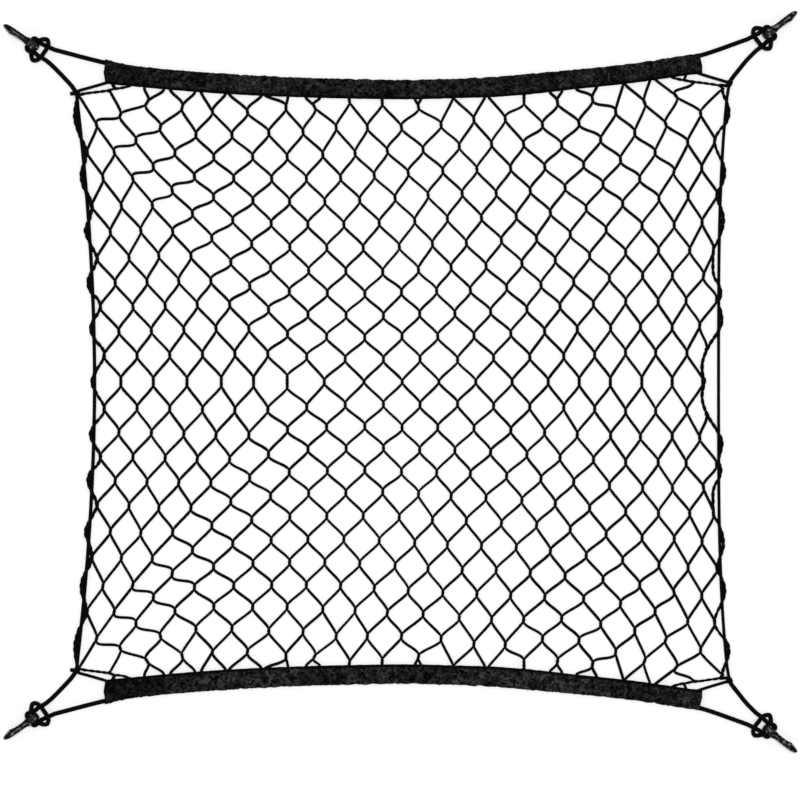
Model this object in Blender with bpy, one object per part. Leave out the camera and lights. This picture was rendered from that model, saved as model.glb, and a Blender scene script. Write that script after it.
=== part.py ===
"""A cargo net lying flat: knotted elastic mesh, two folded cloth sleeves, edge cords and four hooks.

Lengths are in millimetres up to the point where a mesh or curve is made, and MM turns them into metres.
The net lies in the XY plane on the floor at z = 0, its sleeves along X at the upper (+Y) and lower edge.
The lower half mirrors the upper half, so places are worked out for y above 0 and mirrored.
"""
import math

import bmesh
import bpy
from mathutils import Vector

MM = 0.001
CLEARANCE = 0.35             # left between pieces that touch
CENTRE_X = 1.8               # moves the net sideways so that its box is centred on the origin

# ---- twine, cloth and cord sizes -----------------------------------------------------------------------
TWINE = 2.4                  # width and thickness of the mesh's twine
CLOTH = 1.0                  # thickness of the sleeve's cloth
BORDER_CORD = 4.4            # diameters
SIDE_CORD = 3.4
INNER_CORD = 3.0
CORNER_KNOT = 7.8
CORD_SIDES = 8
STRAIGHT_SPACING = 36.0      # between points where a cord runs nearly straight
FOLD_STEPS, SIDE_STEPS = 18, 9
SIDE_CORD_RISE = 16.0        # the side cords rise to the corner knots over this length
INNER_CORD_DEPTH = 7.0        # how far the inner cords reach into the sleeve
INNER_CORD_BELOW_MIDDLE = 7.6

# ---- sleeves -------------------------------------------------------------------------------------------
SLEEVE_ENDS = (-325.6, 328.0)
SLEEVE_STATIONS = 25
SLEEVE_MIDDLE_Y = 321.5      # height of the sleeve's centre line half way along
SLEEVE_RISE = (19.5, 28.3)   # how much higher the left and right ends are
SLEEVE_RISE_POWER = (2.3, 1.7)
SLEEVE_HALF = 10.3
SLEEVE_END_WIDER = (1.8, 0.3)
SLEEVE_END_LENGTH = 35.0
FOLD_RADIUS = 3.6            # outer radius of the fold that holds the border cord
LIP_TOP = 5.6                # height of the upper layer at its open edge
LIFT = 1.6                   # the mesh is this high where it lies between the sleeve's layers
BAND_BELOW_MIDDLE = 1.0      # the mesh's hidden edge, below the sleeve's centre line
TOP_ROW_RISE = (-4.0, 5.0)   # where the mesh is pulled to at the left and the rest, from that centre line
TOP_ROW_CHANGE = (-200.0, -120.0)

# ---- side cords ----------------------------------------------------------------------------------------
# each column: x half way down, how far the ends stand further out, at which height, power of the curve
SIDE_CURVE = {-1: (-338.8, 19.6, 316.0, 2.45), 1: (348.2, 12.1, 328.0, 3.5)}

# ---- the mesh ------------------------------------------------------------------------------------------
# A knot's place is its column (negative to the left) and its row (0 on the line of symmetry); knots are
# where column plus row is even. One cell is two columns wide and two rows high. The mesh is cut here at
# twice the real pitch: every second strand each way is left out.
LEFT_COLUMN, RIGHT_COLUMN = -17, 19
CORNER_ROW, SLEEVE_ROW = 11, 13
CENTRE_DRIFT, CENTRE_DRIFT_POWER = -26.0, 2.5
# Cell sizes to the left and right of column 0, by the diagonal that a knot is on: diagonal, width, height
CELLS = {
    -1: ((-16, 36, 56), (-9, 35, 55), (-6.5, 35.5, 54), (-4.5, 45, 47),
         (-1, 42, 48.5), (3, 40, 50.5), (8, 37, 52), (13, 34, 52)),
    1: ((-13, 41, 50), (-8, 38, 51), (-3, 37.5, 51), (2, 41, 49.5),
        (6, 39.5, 53), (8, 37.5, 54.5), (10.5, 34, 58), (18, 34, 60)),
}
# Knots of the side edges: row, height on the left, gap to the cord, height on the right, gap to the cord
EDGE_KNOTS = ((0, 0, 11.5, 0, 0), (1, 28, 11.5, 34.5, 12.5), (3, 81.5, 8, 92, 4), (5, 135, 6.3, 146, 4.2),
              (7, 193, 4, 206, 4), (9, 252, 4, 265.5, 9.5), (11, 309, 9, 321, 20))
# Where the rows near the corner knots begin: left column, x, y, right column, x, y
END_KNOTS = {10: (-16, -336.6, 285.5, 18, 328.9, 295.4),
             12: (-16, -322.0, 319.5, 18, 322.0, 328.5),
             13: (-15, -303.0, 337.0, 17, 292.0, 341.0)}
CORNER_INWARDS, CORNER_DOWN = 4.7, 3.6     # from a corner knot to where the mesh's edge strands meet
WARP_FROM_COLUMN = 9         # the rows bend towards their end knots from this column outwards
WARP_ROWS = 5                # and the columns towards the sleeve over this many rows

# ---- corners -------------------------------------------------------------------------------------------
# Upper corners: middle of the hitch, direction of the hook in degrees, the corner knot, and how far
# sideways the leg to that knot passes half way
CORNERS = {-1: ((-398.6, 365.2), 145.5, (-359.0, 316.0), -8.3),
           1: ((396.4, 377.7), 37.5, (360.0, 328.0), -10.3)}
# Half of the hitch, from the sleeve's leg to the middle of the bar: outwards, sideways, height.
# The cord comes in low, goes through the eye's lower half, round one ear and up on to the bar.
HITCH_IN = ((-14.0, 9.7, 2.4), (-6.0, 7.9, 2.4), (-1.8, 6.9, 2.6), (3.0, 6.5, 3.4), (7.0, 7.5, 4.7),
            (10.3, 8.7, 5.0), (12.2, 7.1, 5.0), (11.1, 3.6, 5.0), (11.1, -3.6, 5.0), (12.2, -7.1, 5.0),
            (10.3, -8.9, 5.0), (7.2, -8.0, 5.0), (4.4, -11.2, 5.3), (0.3, -13.7, 6.0), (-4.0, -11.8, 6.9),
            (-6.2, -7.4, 7.3), (-6.3, 0.0, 7.4))
# and the other half, from the bar over the other ear, through the eye's upper half and out low again
HITCH_OUT = ((-6.2, 7.4, 7.3), (-4.0, 11.8, 7.3), (0.3, 13.7, 7.8), (4.4, 11.2, 8.9), (7.2, 8.0, 9.8),
             (10.3, 8.9, 9.8), (12.2, 7.1, 9.8), (11.1, 3.6, 9.7), (11.1, -3.6, 9.7), (12.2, -7.1, 9.8),
             (10.3, -8.7, 9.9), (7.0, -7.5, 9.8), (3.0, -6.3, 8.0), (-1.8, -6.5, 4.6), (-6.0, -7.2, 2.6),
             (-14.0, -7.6, 2.4))
LEG_MIDDLE, LEG_HEIGHT = -33.0, 2.4

# ---- hooks ---------------------------------------------------------------------------------------------
EYE_CENTRE = (11.1, 7.35)    # outwards, height
EYE_HALF = (2.65, 4.95)      # half of the slot that the cord is hitched through
BOSS_CENTRE = (10.5, 7.35)
BOSS_HALF = (6.9, 7.35)
BOSS_HALF_WIDTH = 4.4
EYE_POINTS = 16
SQUARENESS = 5.0             # of the eye's and the boss's rounded rectangles
BEND_CENTRE, BEND_RADIUS, BEND_STEPS = (36.8, 9.5), 7.2, 8
HOOK_EDGE = 1.0              # rounding of the moulded edges
# The shank up to the bend and the point after it: outwards, height, half thickness, half width, sideways
SHANK = ((20.5, 9.2, 3.2, 3.3, 0.0), (25.0, 12.0, 3.0, 3.2, 0.0), (30.0, 14.8, 2.9, 3.2, 0.0),
         (34.0, 16.4, 2.8, 3.2, 0.0))
BEND_START = (2.8, 3.1, 0.0)   # half thickness, half width, sideways
BEND_END = (2.3, 1.9, -1.6)
POINT = ((32.5, 2.6, 2.1, 1.9, -1.9), (28.6, 3.6, 1.7, 1.7, -2.1))


def smooth(t):
    """Eases from 0 to 1."""
    t = min(1.0, max(0.0, t))
    return t * t * (3 - 2 * t)


def mix(a, b, t):
    return a + (b - a) * t


def read_table(rows, at, column):
    """The value of a column at a place between the rows, which begin with their own place."""
    if at <= rows[0][0]:
        return rows[0][column]
    for low, high in zip(rows, rows[1:]):
        if at <= high[0]:
            return mix(low[column], high[column], (at - low[0]) / (high[0] - low[0]))
    return rows[-1][column]


# ---- edges of the net ----------------------------------------------------------------------------------
def sleeve_middle(x):
    """Height of the upper sleeve's centre line: it sags between the corners."""
    end = 0 if x < 0 else 1
    return SLEEVE_MIDDLE_Y + SLEEVE_RISE[end] * abs(x / SLEEVE_ENDS[end]) ** SLEEVE_RISE_POWER[end]


def sleeve_half(x):
    """Half of the sleeve's width: a little wider at its ends."""
    left = SLEEVE_END_WIDER[0] * math.exp((SLEEVE_ENDS[0] - x) / SLEEVE_END_LENGTH)
    right = SLEEVE_END_WIDER[1] * math.exp((x - SLEEVE_ENDS[1]) / SLEEVE_END_LENGTH)
    return SLEEVE_HALF + left + right


def fold_y(x):
    """Where the border cord runs inside the sleeve's fold."""
    return sleeve_middle(x) + sleeve_half(x) - FOLD_RADIUS


def side_cord_x(side, y):
    x, out, height, power = SIDE_CURVE[side]
    return x + side * out * (abs(y) / height) ** power


# ---- knots of the mesh ---------------------------------------------------------------------------------
def free_knot(column, row):
    """A knot before the mesh is bent to its edges: the cells' sizes added up from the middle."""
    x = CENTRE_DRIFT * (row / 12) ** CENTRE_DRIFT_POWER
    side = 1 if column > 0 else -1
    for i in range(abs(column)):
        diagonal = side * (i + 0.5 - row)
        x += side * read_table(CELLS[side], diagonal, 1) / 2
    side = 1 if column >= 0 else -1
    diagonals = (column - side * (j + 0.5) for j in range(row))
    y = sum(read_table(CELLS[side], diagonal, 2) / 2 for diagonal in diagonals)
    return x, y


def end_knot(row, side):
    """Column and place of the outermost knot of a row."""
    if row in END_KNOTS:
        return END_KNOTS[row][:3] if side < 0 else END_KNOTS[row][3:]
    y = read_table(EDGE_KNOTS, row, 1 if side < 0 else 3)
    gap = read_table(EDGE_KNOTS, row, 2 if side < 0 else 4)
    return (LEFT_COLUMN if side < 0 else RIGHT_COLUMN), side_cord_x(side, y) - side * gap, y


def knot(column, row):
    """Where a knot lies, in the upper or the lower half."""
    up = abs(row)
    if up == CORNER_ROW and column in (LEFT_COLUMN, RIGHT_COLUMN):
        side = 1 if column > 0 else -1
        x, y = CORNERS[side][2]
        return x - side * CORNER_INWARDS, math.copysign(y - CORNER_DOWN, row)
    x, y = free_knot(column, up)
    end_column, end_x, end_y = end_knot(up, -1 if column < 0 else 1)
    raw_x, raw_y = free_knot(end_column, up)
    outwards = smooth((abs(column) - WARP_FROM_COLUMN) / (abs(end_column) - WARP_FROM_COLUMN))
    x += (end_x - raw_x) * outwards
    y += (end_y - raw_y) * outwards
    if up == SLEEVE_ROW:
        y = sleeve_middle(x) - BAND_BELOW_MIDDLE
    elif outwards < 1:
        top_x, top_y = free_knot(column, SLEEVE_ROW)
        change = smooth((top_x - TOP_ROW_CHANGE[0]) / (TOP_ROW_CHANGE[1] - TOP_ROW_CHANGE[0]))
        rise = smooth((up - SLEEVE_ROW + WARP_ROWS) / WARP_ROWS) * (1 - outwards)
        y += (sleeve_middle(top_x) + mix(*TOP_ROW_RISE, change) - top_y) * rise
    return x, math.copysign(y, row) if row else 0.0


def inside(column, row):
    """Whether the mesh has this knot: above the corners each row is a column shorter at both ends."""
    shorter = max(0, abs(row) - CORNER_ROW)
    return abs(row) <= SLEEVE_ROW and LEFT_COLUMN + shorter <= column <= RIGHT_COLUMN - shorter


def mesh_bars():
    """Pairs of knots that a strand joins, and the places of all knots."""
    bars, ends = set(), ((-1, LEFT_COLUMN), (1, RIGHT_COLUMN))
    for row in range(-SLEEVE_ROW, SLEEVE_ROW + 1):
        for column in range(LEFT_COLUMN, RIGHT_COLUMN + 1):
            rising, falling = (column + 1, row + 1), (column + 1, row - 1)
            if not inside(column, row) or (column + row) % 2:
                continue
            if (column - row) % 4 == 2 and inside(*rising):
                bars.add(((column, row), rising))
            if (column + row) % 4 == 2 and inside(*falling):
                bars.add(((column, row), falling))
    for up in (-1, 1):
        for side, corner in ends:
            path = [(corner - side * i, up * (CORNER_ROW + i)) for i in range(3)]
            for start, end in zip(path, path[1:]):
                if (start, end) not in bars and (end, start) not in bars:
                    bars.add((start, end))
        for column in range(LEFT_COLUMN + 2, RIGHT_COLUMN - 2, 2):
            bars.add(((column, up * SLEEVE_ROW), (column + 2, up * SLEEVE_ROW)))
    places = {key: knot(*key) for bar in bars for key in bar}
    for side, corner in ends:
        for row in range(-CORNER_ROW, CORNER_ROW, 2):
            if side > 0 and row == -1:
                continue
            below, above, between = (corner, row), (corner, row + 2), (corner, row + 1)
            y = (places[below][1] + places[above][1]) / 2
            beside = (SIDE_CORD + TWINE) / 2 + CLEARANCE
            places[between] = side_cord_x(side, y) - side * beside, y
            bars.update(((below, between), (between, above)))
    return bars, places


def lift_of(key):
    """Height of a strand's underside: the mesh rises to lie between the sleeve's layers."""
    return LIFT * smooth((abs(key[1]) - SLEEVE_ROW + 3) / 2)


# ---- mesh tools ----------------------------------------------------------------------------------------
def world(x, y, z):
    return Vector(((x + CENTRE_X) * MM, y * MM, z * MM))


def material(name, colour, roughness):
    made = bpy.data.materials.new(name)
    made.use_nodes = True
    shader = made.node_tree.nodes["Principled BSDF"]
    shader.inputs["Base Color"].default_value = (*colour, 1)
    shader.inputs["Roughness"].default_value = roughness
    shader.inputs["Metallic"].default_value = 0.0
    return made


def add_object(name, data, surface):
    made = bpy.data.objects.new(name, data)
    data.materials.append(surface)
    bpy.context.scene.collection.objects.link(made)
    return made


def thick_sheet(name, lower, upper, faces, surface):
    """A closed solid between two layers of points: faces on both, and a wall along every free edge."""
    solid = bmesh.new()
    bottom = [solid.verts.new(world(*point)) for point in lower]
    top = [solid.verts.new(world(*point)) for point in upper]
    directed = {(a, b) for face in faces for a, b in zip(face, face[1:] + face[:1])}
    for face in faces:
        solid.faces.new([top[i] for i in face])
        solid.faces.new([bottom[i] for i in reversed(face)])
    for a, b in sorted(directed):
        if (b, a) not in directed:
            solid.faces.new((bottom[a], bottom[b], top[b], top[a]))
    bmesh.ops.recalc_face_normals(solid, faces=solid.faces)
    mesh = bpy.data.meshes.new(name)
    solid.to_mesh(mesh)
    solid.free()
    return add_object(name, mesh, surface)


def cord(name, route, diameter, surface):
    """A round cord along a list of points, with closed ends."""
    curve = bpy.data.curves.new(name, "CURVE")
    curve.dimensions = "3D"
    curve.bevel_depth = diameter / 2 * MM
    curve.bevel_resolution = CORD_SIDES // 2 - 2
    curve.use_fill_caps = True
    spline = curve.splines.new("POLY")
    spline.points.add(len(route) - 1)
    for point, place in zip(spline.points, route):
        point.co = (*world(*place), 1)
    return add_object(name, curve, surface)


def smooth_route(controls, spacing):
    """Points read from a smooth curve through the control points, at most a spacing apart."""
    points = [Vector(control) for control in controls]
    before = points[0] * 2 - points[1]
    after = points[-1] * 2 - points[-2]
    padded = [before] + points + [after]
    route = [points[0]]
    for p0, p1, p2, p3 in zip(padded, padded[1:], padded[2:], padded[3:]):
        length = (p2 - p1).length
        start = (p2 - p0) * length / ((p1 - p0).length + length)
        end = (p3 - p1) * length / ((p3 - p2).length + length)
        steps = max(1, round(length / spacing))
        for i in range(1, steps + 1):
            t = i / steps
            route.append(p1 * (2 * t**3 - 3 * t**2 + 1) + start * (t**3 - 2 * t**2 + t)
                         + p2 * (3 * t**2 - 2 * t**3) + end * (t**3 - t**2))
    return route


# ---- the mesh as a solid -------------------------------------------------------------------------------
def ribbon_corner(place, first, second, half):
    """Where the edges of two neighbouring ribbons meet at a knot."""
    to_first = (Vector(first) - Vector(place)).normalized()
    to_second = (Vector(second) - Vector(place)).normalized()
    left = Vector((-to_first.y, to_first.x))
    right = Vector((to_second.y, -to_second.x))
    return Vector(place) + (left + right) * half / (1 + left.dot(right))


def build_net(surface):
    """Every strand is a flat ribbon of twine, and the ribbons share their corners at the knots."""
    bars, places = mesh_bars()
    spokes = {key: [] for key in places}
    for start, end in bars:
        spokes[start].append(end)
        spokes[end].append(start)
    flat, lifts, faces, after, ahead = [], [], [], {}, {}
    for key, place in sorted(places.items()):
        def bearing(other):
            return math.atan2(places[other][1] - place[1], places[other][0] - place[0])
        around = sorted(spokes[key], key=bearing)
        ring = []
        for first, second in zip(around, around[1:] + around[:1]):
            after[key, first] = ahead[key, second] = len(flat)
            ring.append(len(flat))
            flat.append(ribbon_corner(place, places[first], places[second], TWINE / 2))
            lifts.append(lift_of(key))
        if len(ring) > 2:
            faces.append(ring)
    for start, end in sorted(bars):
        faces.append([ahead[start, end], after[end, start], ahead[end, start], after[start, end]])
    lower = [(corner.x, corner.y, lift) for corner, lift in zip(flat, lifts)]
    upper = [(x, y, z + TWINE) for x, y, z in lower]
    thick_sheet("net", lower, upper, faces, surface)


# ---- sleeves -------------------------------------------------------------------------------------------
def sleeve_section(width):
    """Pairs of outer and inner points, from the lower open edge round the fold to the upper open edge.
    A point is its distance from the fold's outer side, and its height."""
    pairs = [((width, 0.0), (width, CLOTH))]
    for step in range(5):
        angle = math.radians(270 - 45 * step)
        turn = Vector((math.cos(angle), math.sin(angle)))
        centre = Vector((FOLD_RADIUS, FOLD_RADIUS))
        pairs.append((centre + turn * FOLD_RADIUS, centre + turn * (FOLD_RADIUS - CLOTH)))
    slope_end = mix(FOLD_RADIUS, width, 0.45)
    slope_top = mix(2 * FOLD_RADIUS, LIP_TOP, 0.6)
    pairs.append(((slope_end, slope_top), (slope_end, slope_top - CLOTH)))
    pairs.append(((width, LIP_TOP), (width, LIP_TOP - CLOTH)))
    return pairs


def build_sleeve(name, up, surface):
    """A strip of cloth folded lengthwise round the border cord, its open edges towards the mesh."""
    outer, inner, faces = [], [], []
    for station in range(SLEEVE_STATIONS):
        x = mix(*SLEEVE_ENDS, station / (SLEEVE_STATIONS - 1))
        edge_y = sleeve_middle(x) + sleeve_half(x)
        section = sleeve_section(2 * sleeve_half(x))
        for outside, within in section:
            outer.append((x, up * (edge_y - outside[0]), outside[1]))
            inner.append((x, up * (edge_y - within[0]), within[1]))
        if station:
            row = len(section)
            start = len(outer) - 2 * row
            for i in range(start, start + row - 1):
                faces.append([i, i + row, i + row + 1, i + 1])
    thick_sheet(name, inner, outer, faces, surface)


# ---- cords, knots and hooks ----------------------------------------------------------------------------
class Corner:
    """One corner's own axes: outwards along the hook, and sideways towards the sleeve."""

    def __init__(self, side, up):
        (x, y), degrees, knot_place, self.leg_sideways = CORNERS[side]
        angle = math.radians(degrees)
        self.up = up
        self.middle = Vector((x, y, 0))
        self.outwards = Vector((math.cos(angle), math.sin(angle), 0))
        self.sideways = Vector((-math.sin(angle), math.cos(angle), 0)) * side
        self.knot = Vector((*knot_place, CORNER_KNOT / 2))

    def place(self, outwards, sideways, height):
        upper = self.middle + self.outwards * outwards + self.sideways * sideways
        return upper.x, self.up * upper.y, height

    def by_knot(self, towards):
        """The end of a cord that comes to the corner knot from a place in the upper half."""
        direction = (Vector(towards) - self.knot).normalized()
        end = self.knot + direction * (CORNER_KNOT / 2 + CLEARANCE)
        return end.x, self.up * end.y, end.z


def border_route(up):
    """From one corner knot through its hook, the sleeve's fold and the other hook to the other knot."""
    left, right = Corner(-1, up), Corner(1, up)
    hitch = HITCH_IN + HITCH_OUT
    route = []
    for corner in (left, right):
        leg = (LEG_MIDDLE, corner.leg_sideways, LEG_HEIGHT)
        local = [corner.place(*point) for point in hitch + (leg,)]
        leg_x, leg_y, leg_z = local[-1]
        knot_end = corner.by_knot((leg_x, up * leg_y, leg_z))
        route.append(smooth_route(local, BORDER_CORD) + [Vector(knot_end)])
    stations = [mix(*SLEEVE_ENDS, i / FOLD_STEPS) for i in range(FOLD_STEPS + 1)]
    fold = [(x, up * fold_y(x), FOLD_RADIUS) for x in stations]
    middle = smooth_route([route[0][0]] + fold + [route[1][0]], STRAIGHT_SPACING)
    return route[0][:0:-1] + middle + route[1][1:]


def build_cords(surface):
    for up, row_name in ((1, "top"), (-1, "bottom")):
        cord("border_cord_" + row_name, border_route(up), BORDER_CORD, surface)
        for side, column_name in ((-1, "left"), (1, "right")):
            corner = Corner(side, up)
            end_x = SLEEVE_ENDS[max(side, 0)] - side * INNER_CORD_DEPTH
            end_y = sleeve_middle(end_x) - INNER_CORD_BELOW_MIDDLE
            height = LIP_TOP / 2
            start = corner.by_knot((end_x, end_y, height))
            route = [start, (end_x, up * end_y, height)]
            cord("inner_cord_" + row_name + "_" + column_name, route, INNER_CORD, surface)
    for side, column_name in ((-1, "left"), (1, "right")):
        reach = CORNERS[side][2][1] - SIDE_CORD_RISE
        rows = [reach * i / SIDE_STEPS for i in range(-SIDE_STEPS, SIDE_STEPS + 1)]
        along = [(side_cord_x(side, y), y, SIDE_CORD / 2) for y in rows]
        ends = [Corner(side, up).by_knot(along[-1]) for up in (-1, 1)]
        route = smooth_route([ends[0]] + along + [ends[1]], STRAIGHT_SPACING)
        cord("side_cord_" + column_name, route, SIDE_CORD, surface)


def build_corner_knots(surface):
    """A round lump of tied cord with a flat underside where it lies on the floor."""
    for up, row_name in ((1, "top"), (-1, "bottom")):
        for side, column_name in ((-1, "left"), (1, "right")):
            centre = Corner(side, up).knot
            lump = bmesh.new()
            bmesh.ops.create_uvsphere(lump, u_segments=12, v_segments=8, radius=CORNER_KNOT / 2 * MM)
            for vertex in lump.verts:
                vertex.co.z = max(vertex.co.z, -0.93 * CORNER_KNOT / 2 * MM)
                vertex.co += world(centre.x, up * centre.y, 0.93 * centre.z)
            mesh = bpy.data.meshes.new("corner_knot")
            lump.to_mesh(mesh)
            lump.free()
            mesh.shade_smooth()
            add_object("corner_knot_" + row_name + "_" + column_name, mesh, surface)


def rounded_ring(centre, half):
    """Points of a rounded rectangle, the first and last beside the shank."""
    ring = []
    for step in range(EYE_POINTS):
        angle = 2 * math.pi * (step + 0.5) / EYE_POINTS
        reach = [math.copysign(abs(turn) ** (2 / SQUARENESS), turn)
                 for turn in (math.cos(angle), math.sin(angle))]
        ring.append((centre[0] + half[0] * reach[0], centre[1] + half[1] * reach[1]))
    return ring


def hook_stations():
    """The shank, the bend and the point: outwards, height, half thickness, half width, sideways."""
    bend = []
    for step in range(BEND_STEPS + 1):
        t = step / BEND_STEPS
        angle = math.pi * (0.5 - t)
        bend.append((BEND_CENTRE[0] + BEND_RADIUS * math.cos(angle),
                     BEND_CENTRE[1] + BEND_RADIUS * math.sin(angle),
                     *(mix(a, b, smooth(t)) for a, b in zip(BEND_START, BEND_END))))
    return SHANK + tuple(bend) + POINT


def build_hook(name, corner, surface):
    """A moulded hook standing on edge: a boss with a slotted eye, a shank, a bend and a point below."""
    outline, faces = [], []
    for centre, half in ((EYE_CENTRE, EYE_HALF), (BOSS_CENTRE, BOSS_HALF)):
        for outwards, height in rounded_ring(centre, half):
            outline.append((outwards, height, BOSS_HALF_WIDTH, 0.0))
    for i in range(EYE_POINTS):
        j = (i + 1) % EYE_POINTS
        faces.append([i, EYE_POINTS + i, EYE_POINTS + j, j])
    stations = hook_stations()
    low, high = 2 * EYE_POINTS - 1, EYE_POINTS
    for i, (outwards, height, half, width, shift) in enumerate(stations):
        back = stations[max(0, i - 1)]
        front = stations[min(len(stations) - 1, i + 1)]
        along = Vector((front[0] - back[0], front[1] - back[1])).normalized()
        across = Vector((-along.y, along.x)) * half
        outline.append((outwards - across.x, height - across.y, width, shift))
        outline.append((outwards + across.x, height + across.y, width, shift))
        next_low, next_high = len(outline) - 2, len(outline) - 1
        faces.append([low, next_low, next_high, high])
        low, high = next_low, next_high
    sides = [[corner.place(outwards, shift + face * width, height)
              for outwards, height, width, shift in outline] for face in (-1, 1)]
    made = thick_sheet(name, sides[0], sides[1], faces, surface)
    rounding = made.modifiers.new("moulded edges", "BEVEL")
    rounding.width = HOOK_EDGE * MM
    rounding.segments = 1
    rounding.limit_method = "ANGLE"
    rounding.angle_limit = math.radians(50)


def build():
    for old in list(bpy.data.objects):
        bpy.data.objects.remove(old)
    twine = material("twine", (0.012, 0.012, 0.013), 0.75)
    cloth = material("sleeve cloth", (0.010, 0.010, 0.011), 0.95)
    elastic = material("elastic cord", (0.014, 0.014, 0.015), 0.6)
    plastic = material("moulded plastic", (0.01, 0.01, 0.01), 0.25)
    build_net(twine)
    for up, row_name in ((1, "top"), (-1, "bottom")):
        build_sleeve("sleeve_" + row_name, up, cloth)
        for side, column_name in ((-1, "left"), (1, "right")):
            build_hook("hook_" + row_name + "_" + column_name, Corner(side, up), plastic)
    build_cords(elastic)
    build_corner_knots(elastic)


build()
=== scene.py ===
"""Looks of the cargo net: the mesh at its full pitch, cloth, cords, moulded hooks, floor, light and camera.

Lengths are in millimetres up to the point where a mesh is made, and MM turns them into metres. The lower
half mirrors the upper half. Places and routes repeat those of the solids, in the same frame. Tables that
have -1 and 1 as keys hold the left side and the right side.
"""
import math

import bpy
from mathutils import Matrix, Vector, noise

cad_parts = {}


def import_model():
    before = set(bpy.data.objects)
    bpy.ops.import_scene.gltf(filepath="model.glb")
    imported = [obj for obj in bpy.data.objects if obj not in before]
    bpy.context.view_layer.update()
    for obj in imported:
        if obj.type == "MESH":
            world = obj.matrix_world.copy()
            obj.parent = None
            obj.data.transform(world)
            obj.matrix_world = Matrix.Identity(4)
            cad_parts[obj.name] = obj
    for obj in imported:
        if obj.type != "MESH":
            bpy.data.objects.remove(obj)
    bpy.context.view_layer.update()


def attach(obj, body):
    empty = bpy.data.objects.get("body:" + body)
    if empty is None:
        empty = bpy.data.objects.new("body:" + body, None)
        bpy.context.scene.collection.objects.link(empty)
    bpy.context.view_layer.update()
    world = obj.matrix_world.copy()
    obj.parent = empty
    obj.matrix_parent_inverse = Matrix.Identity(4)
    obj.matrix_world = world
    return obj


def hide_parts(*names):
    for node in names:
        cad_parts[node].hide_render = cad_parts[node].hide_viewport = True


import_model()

MM = 0.001
CENTRE_X = 1.8
UPWARDS, MIRROR = Vector((0, 0, 1)), Vector((1, -1))
HALVES = ((1, "top"), (-1, "bottom"))
SIDES = ((-1, "left"), (1, "right"))

# ---- sizes shared with the solids ----------------------------------------------------------------------
CLOTH = 1.0
CORNER_KNOT = 7.8
SIDE_CORD_RISE = 16.0
FOLD_STEPS = 18

# Of the sleeves: pairs hold the left end's value and the right end's
SLEEVE_ENDS = (-325.6, 328.0)
SLEEVE_MIDDLE_Y = 321.5
SLEEVE_RISE = (19.5, 28.3)
SLEEVE_RISE_POWER = (2.3, 1.7)
SLEEVE_HALF = 10.3
SLEEVE_END_WIDER = (1.8, 0.3)
SLEEVE_END_LENGTH = 35.0
FOLD_RADIUS = 3.6
LIP_TOP = 5.6
LIFT = 1.6
BAND_BELOW_MIDDLE = 1.0
TOP_ROW_RISE = (-4.0, 5.0)
TOP_ROW_CHANGE = (-200.0, -120.0)

# The side cords' curve: x in the middle, how far out it goes at a height, and its power
SIDE_CURVE = {-1: (-338.8, 19.6, 316.0, 2.45), 1: (348.2, 12.1, 328.0, 3.5)}

LEFT_COLUMN, RIGHT_COLUMN = -17, 19
CORNER_ROW, TOP_ROW, SLEEVE_ROW = 11, 12, 13
# How far the middle column drifts along x up to the top row, and the drift's power
CENTRE_DRIFT, CENTRE_DRIFT_POWER = -26.0, 2.5
# The cells' sizes: diagonal of the mesh, width, height
CELLS = {
    -1: ((-16, 36, 56), (-9, 35, 55), (-6.5, 35.5, 54), (-4.5, 45, 47),
         (-1, 42, 48.5), (3, 40, 50.5), (8, 37, 52), (13, 34, 52)),
    1: ((-13, 41, 50), (-8, 38, 51), (-3, 37.5, 51), (2, 41, 49.5),
        (6, 39.5, 53), (8, 37.5, 54.5), (10.5, 34, 58), (18, 34, 60)),
}
# Knots at the edges: row, then y and the gap to the side cord, on the left and on the right
EDGE_KNOTS = ((0, 0, 11.5, 0, 0), (1, 28, 11.5, 34.5, 12.5), (3, 81.5, 8, 92, 4), (5, 135, 6.3, 146, 4.2),
              (7, 193, 4, 206, 4), (9, 252, 4, 265.5, 9.5), (11, 309, 9, 321, 20))
# Outermost knots of the rows near the sleeve: column, x, y, on the left and on the right
END_KNOTS = {10: (-16, -336.6, 285.5, 18, 328.9, 295.4),
             12: (-16, -322.0, 319.5, 18, 322.0, 328.5),
             13: (-15, -303.0, 337.0, 17, 292.0, 341.0)}
CORNER_INWARDS, CORNER_DOWN = 4.7, 3.6
WARP_FROM_COLUMN = 9
WARP_ROWS = 5
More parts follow.
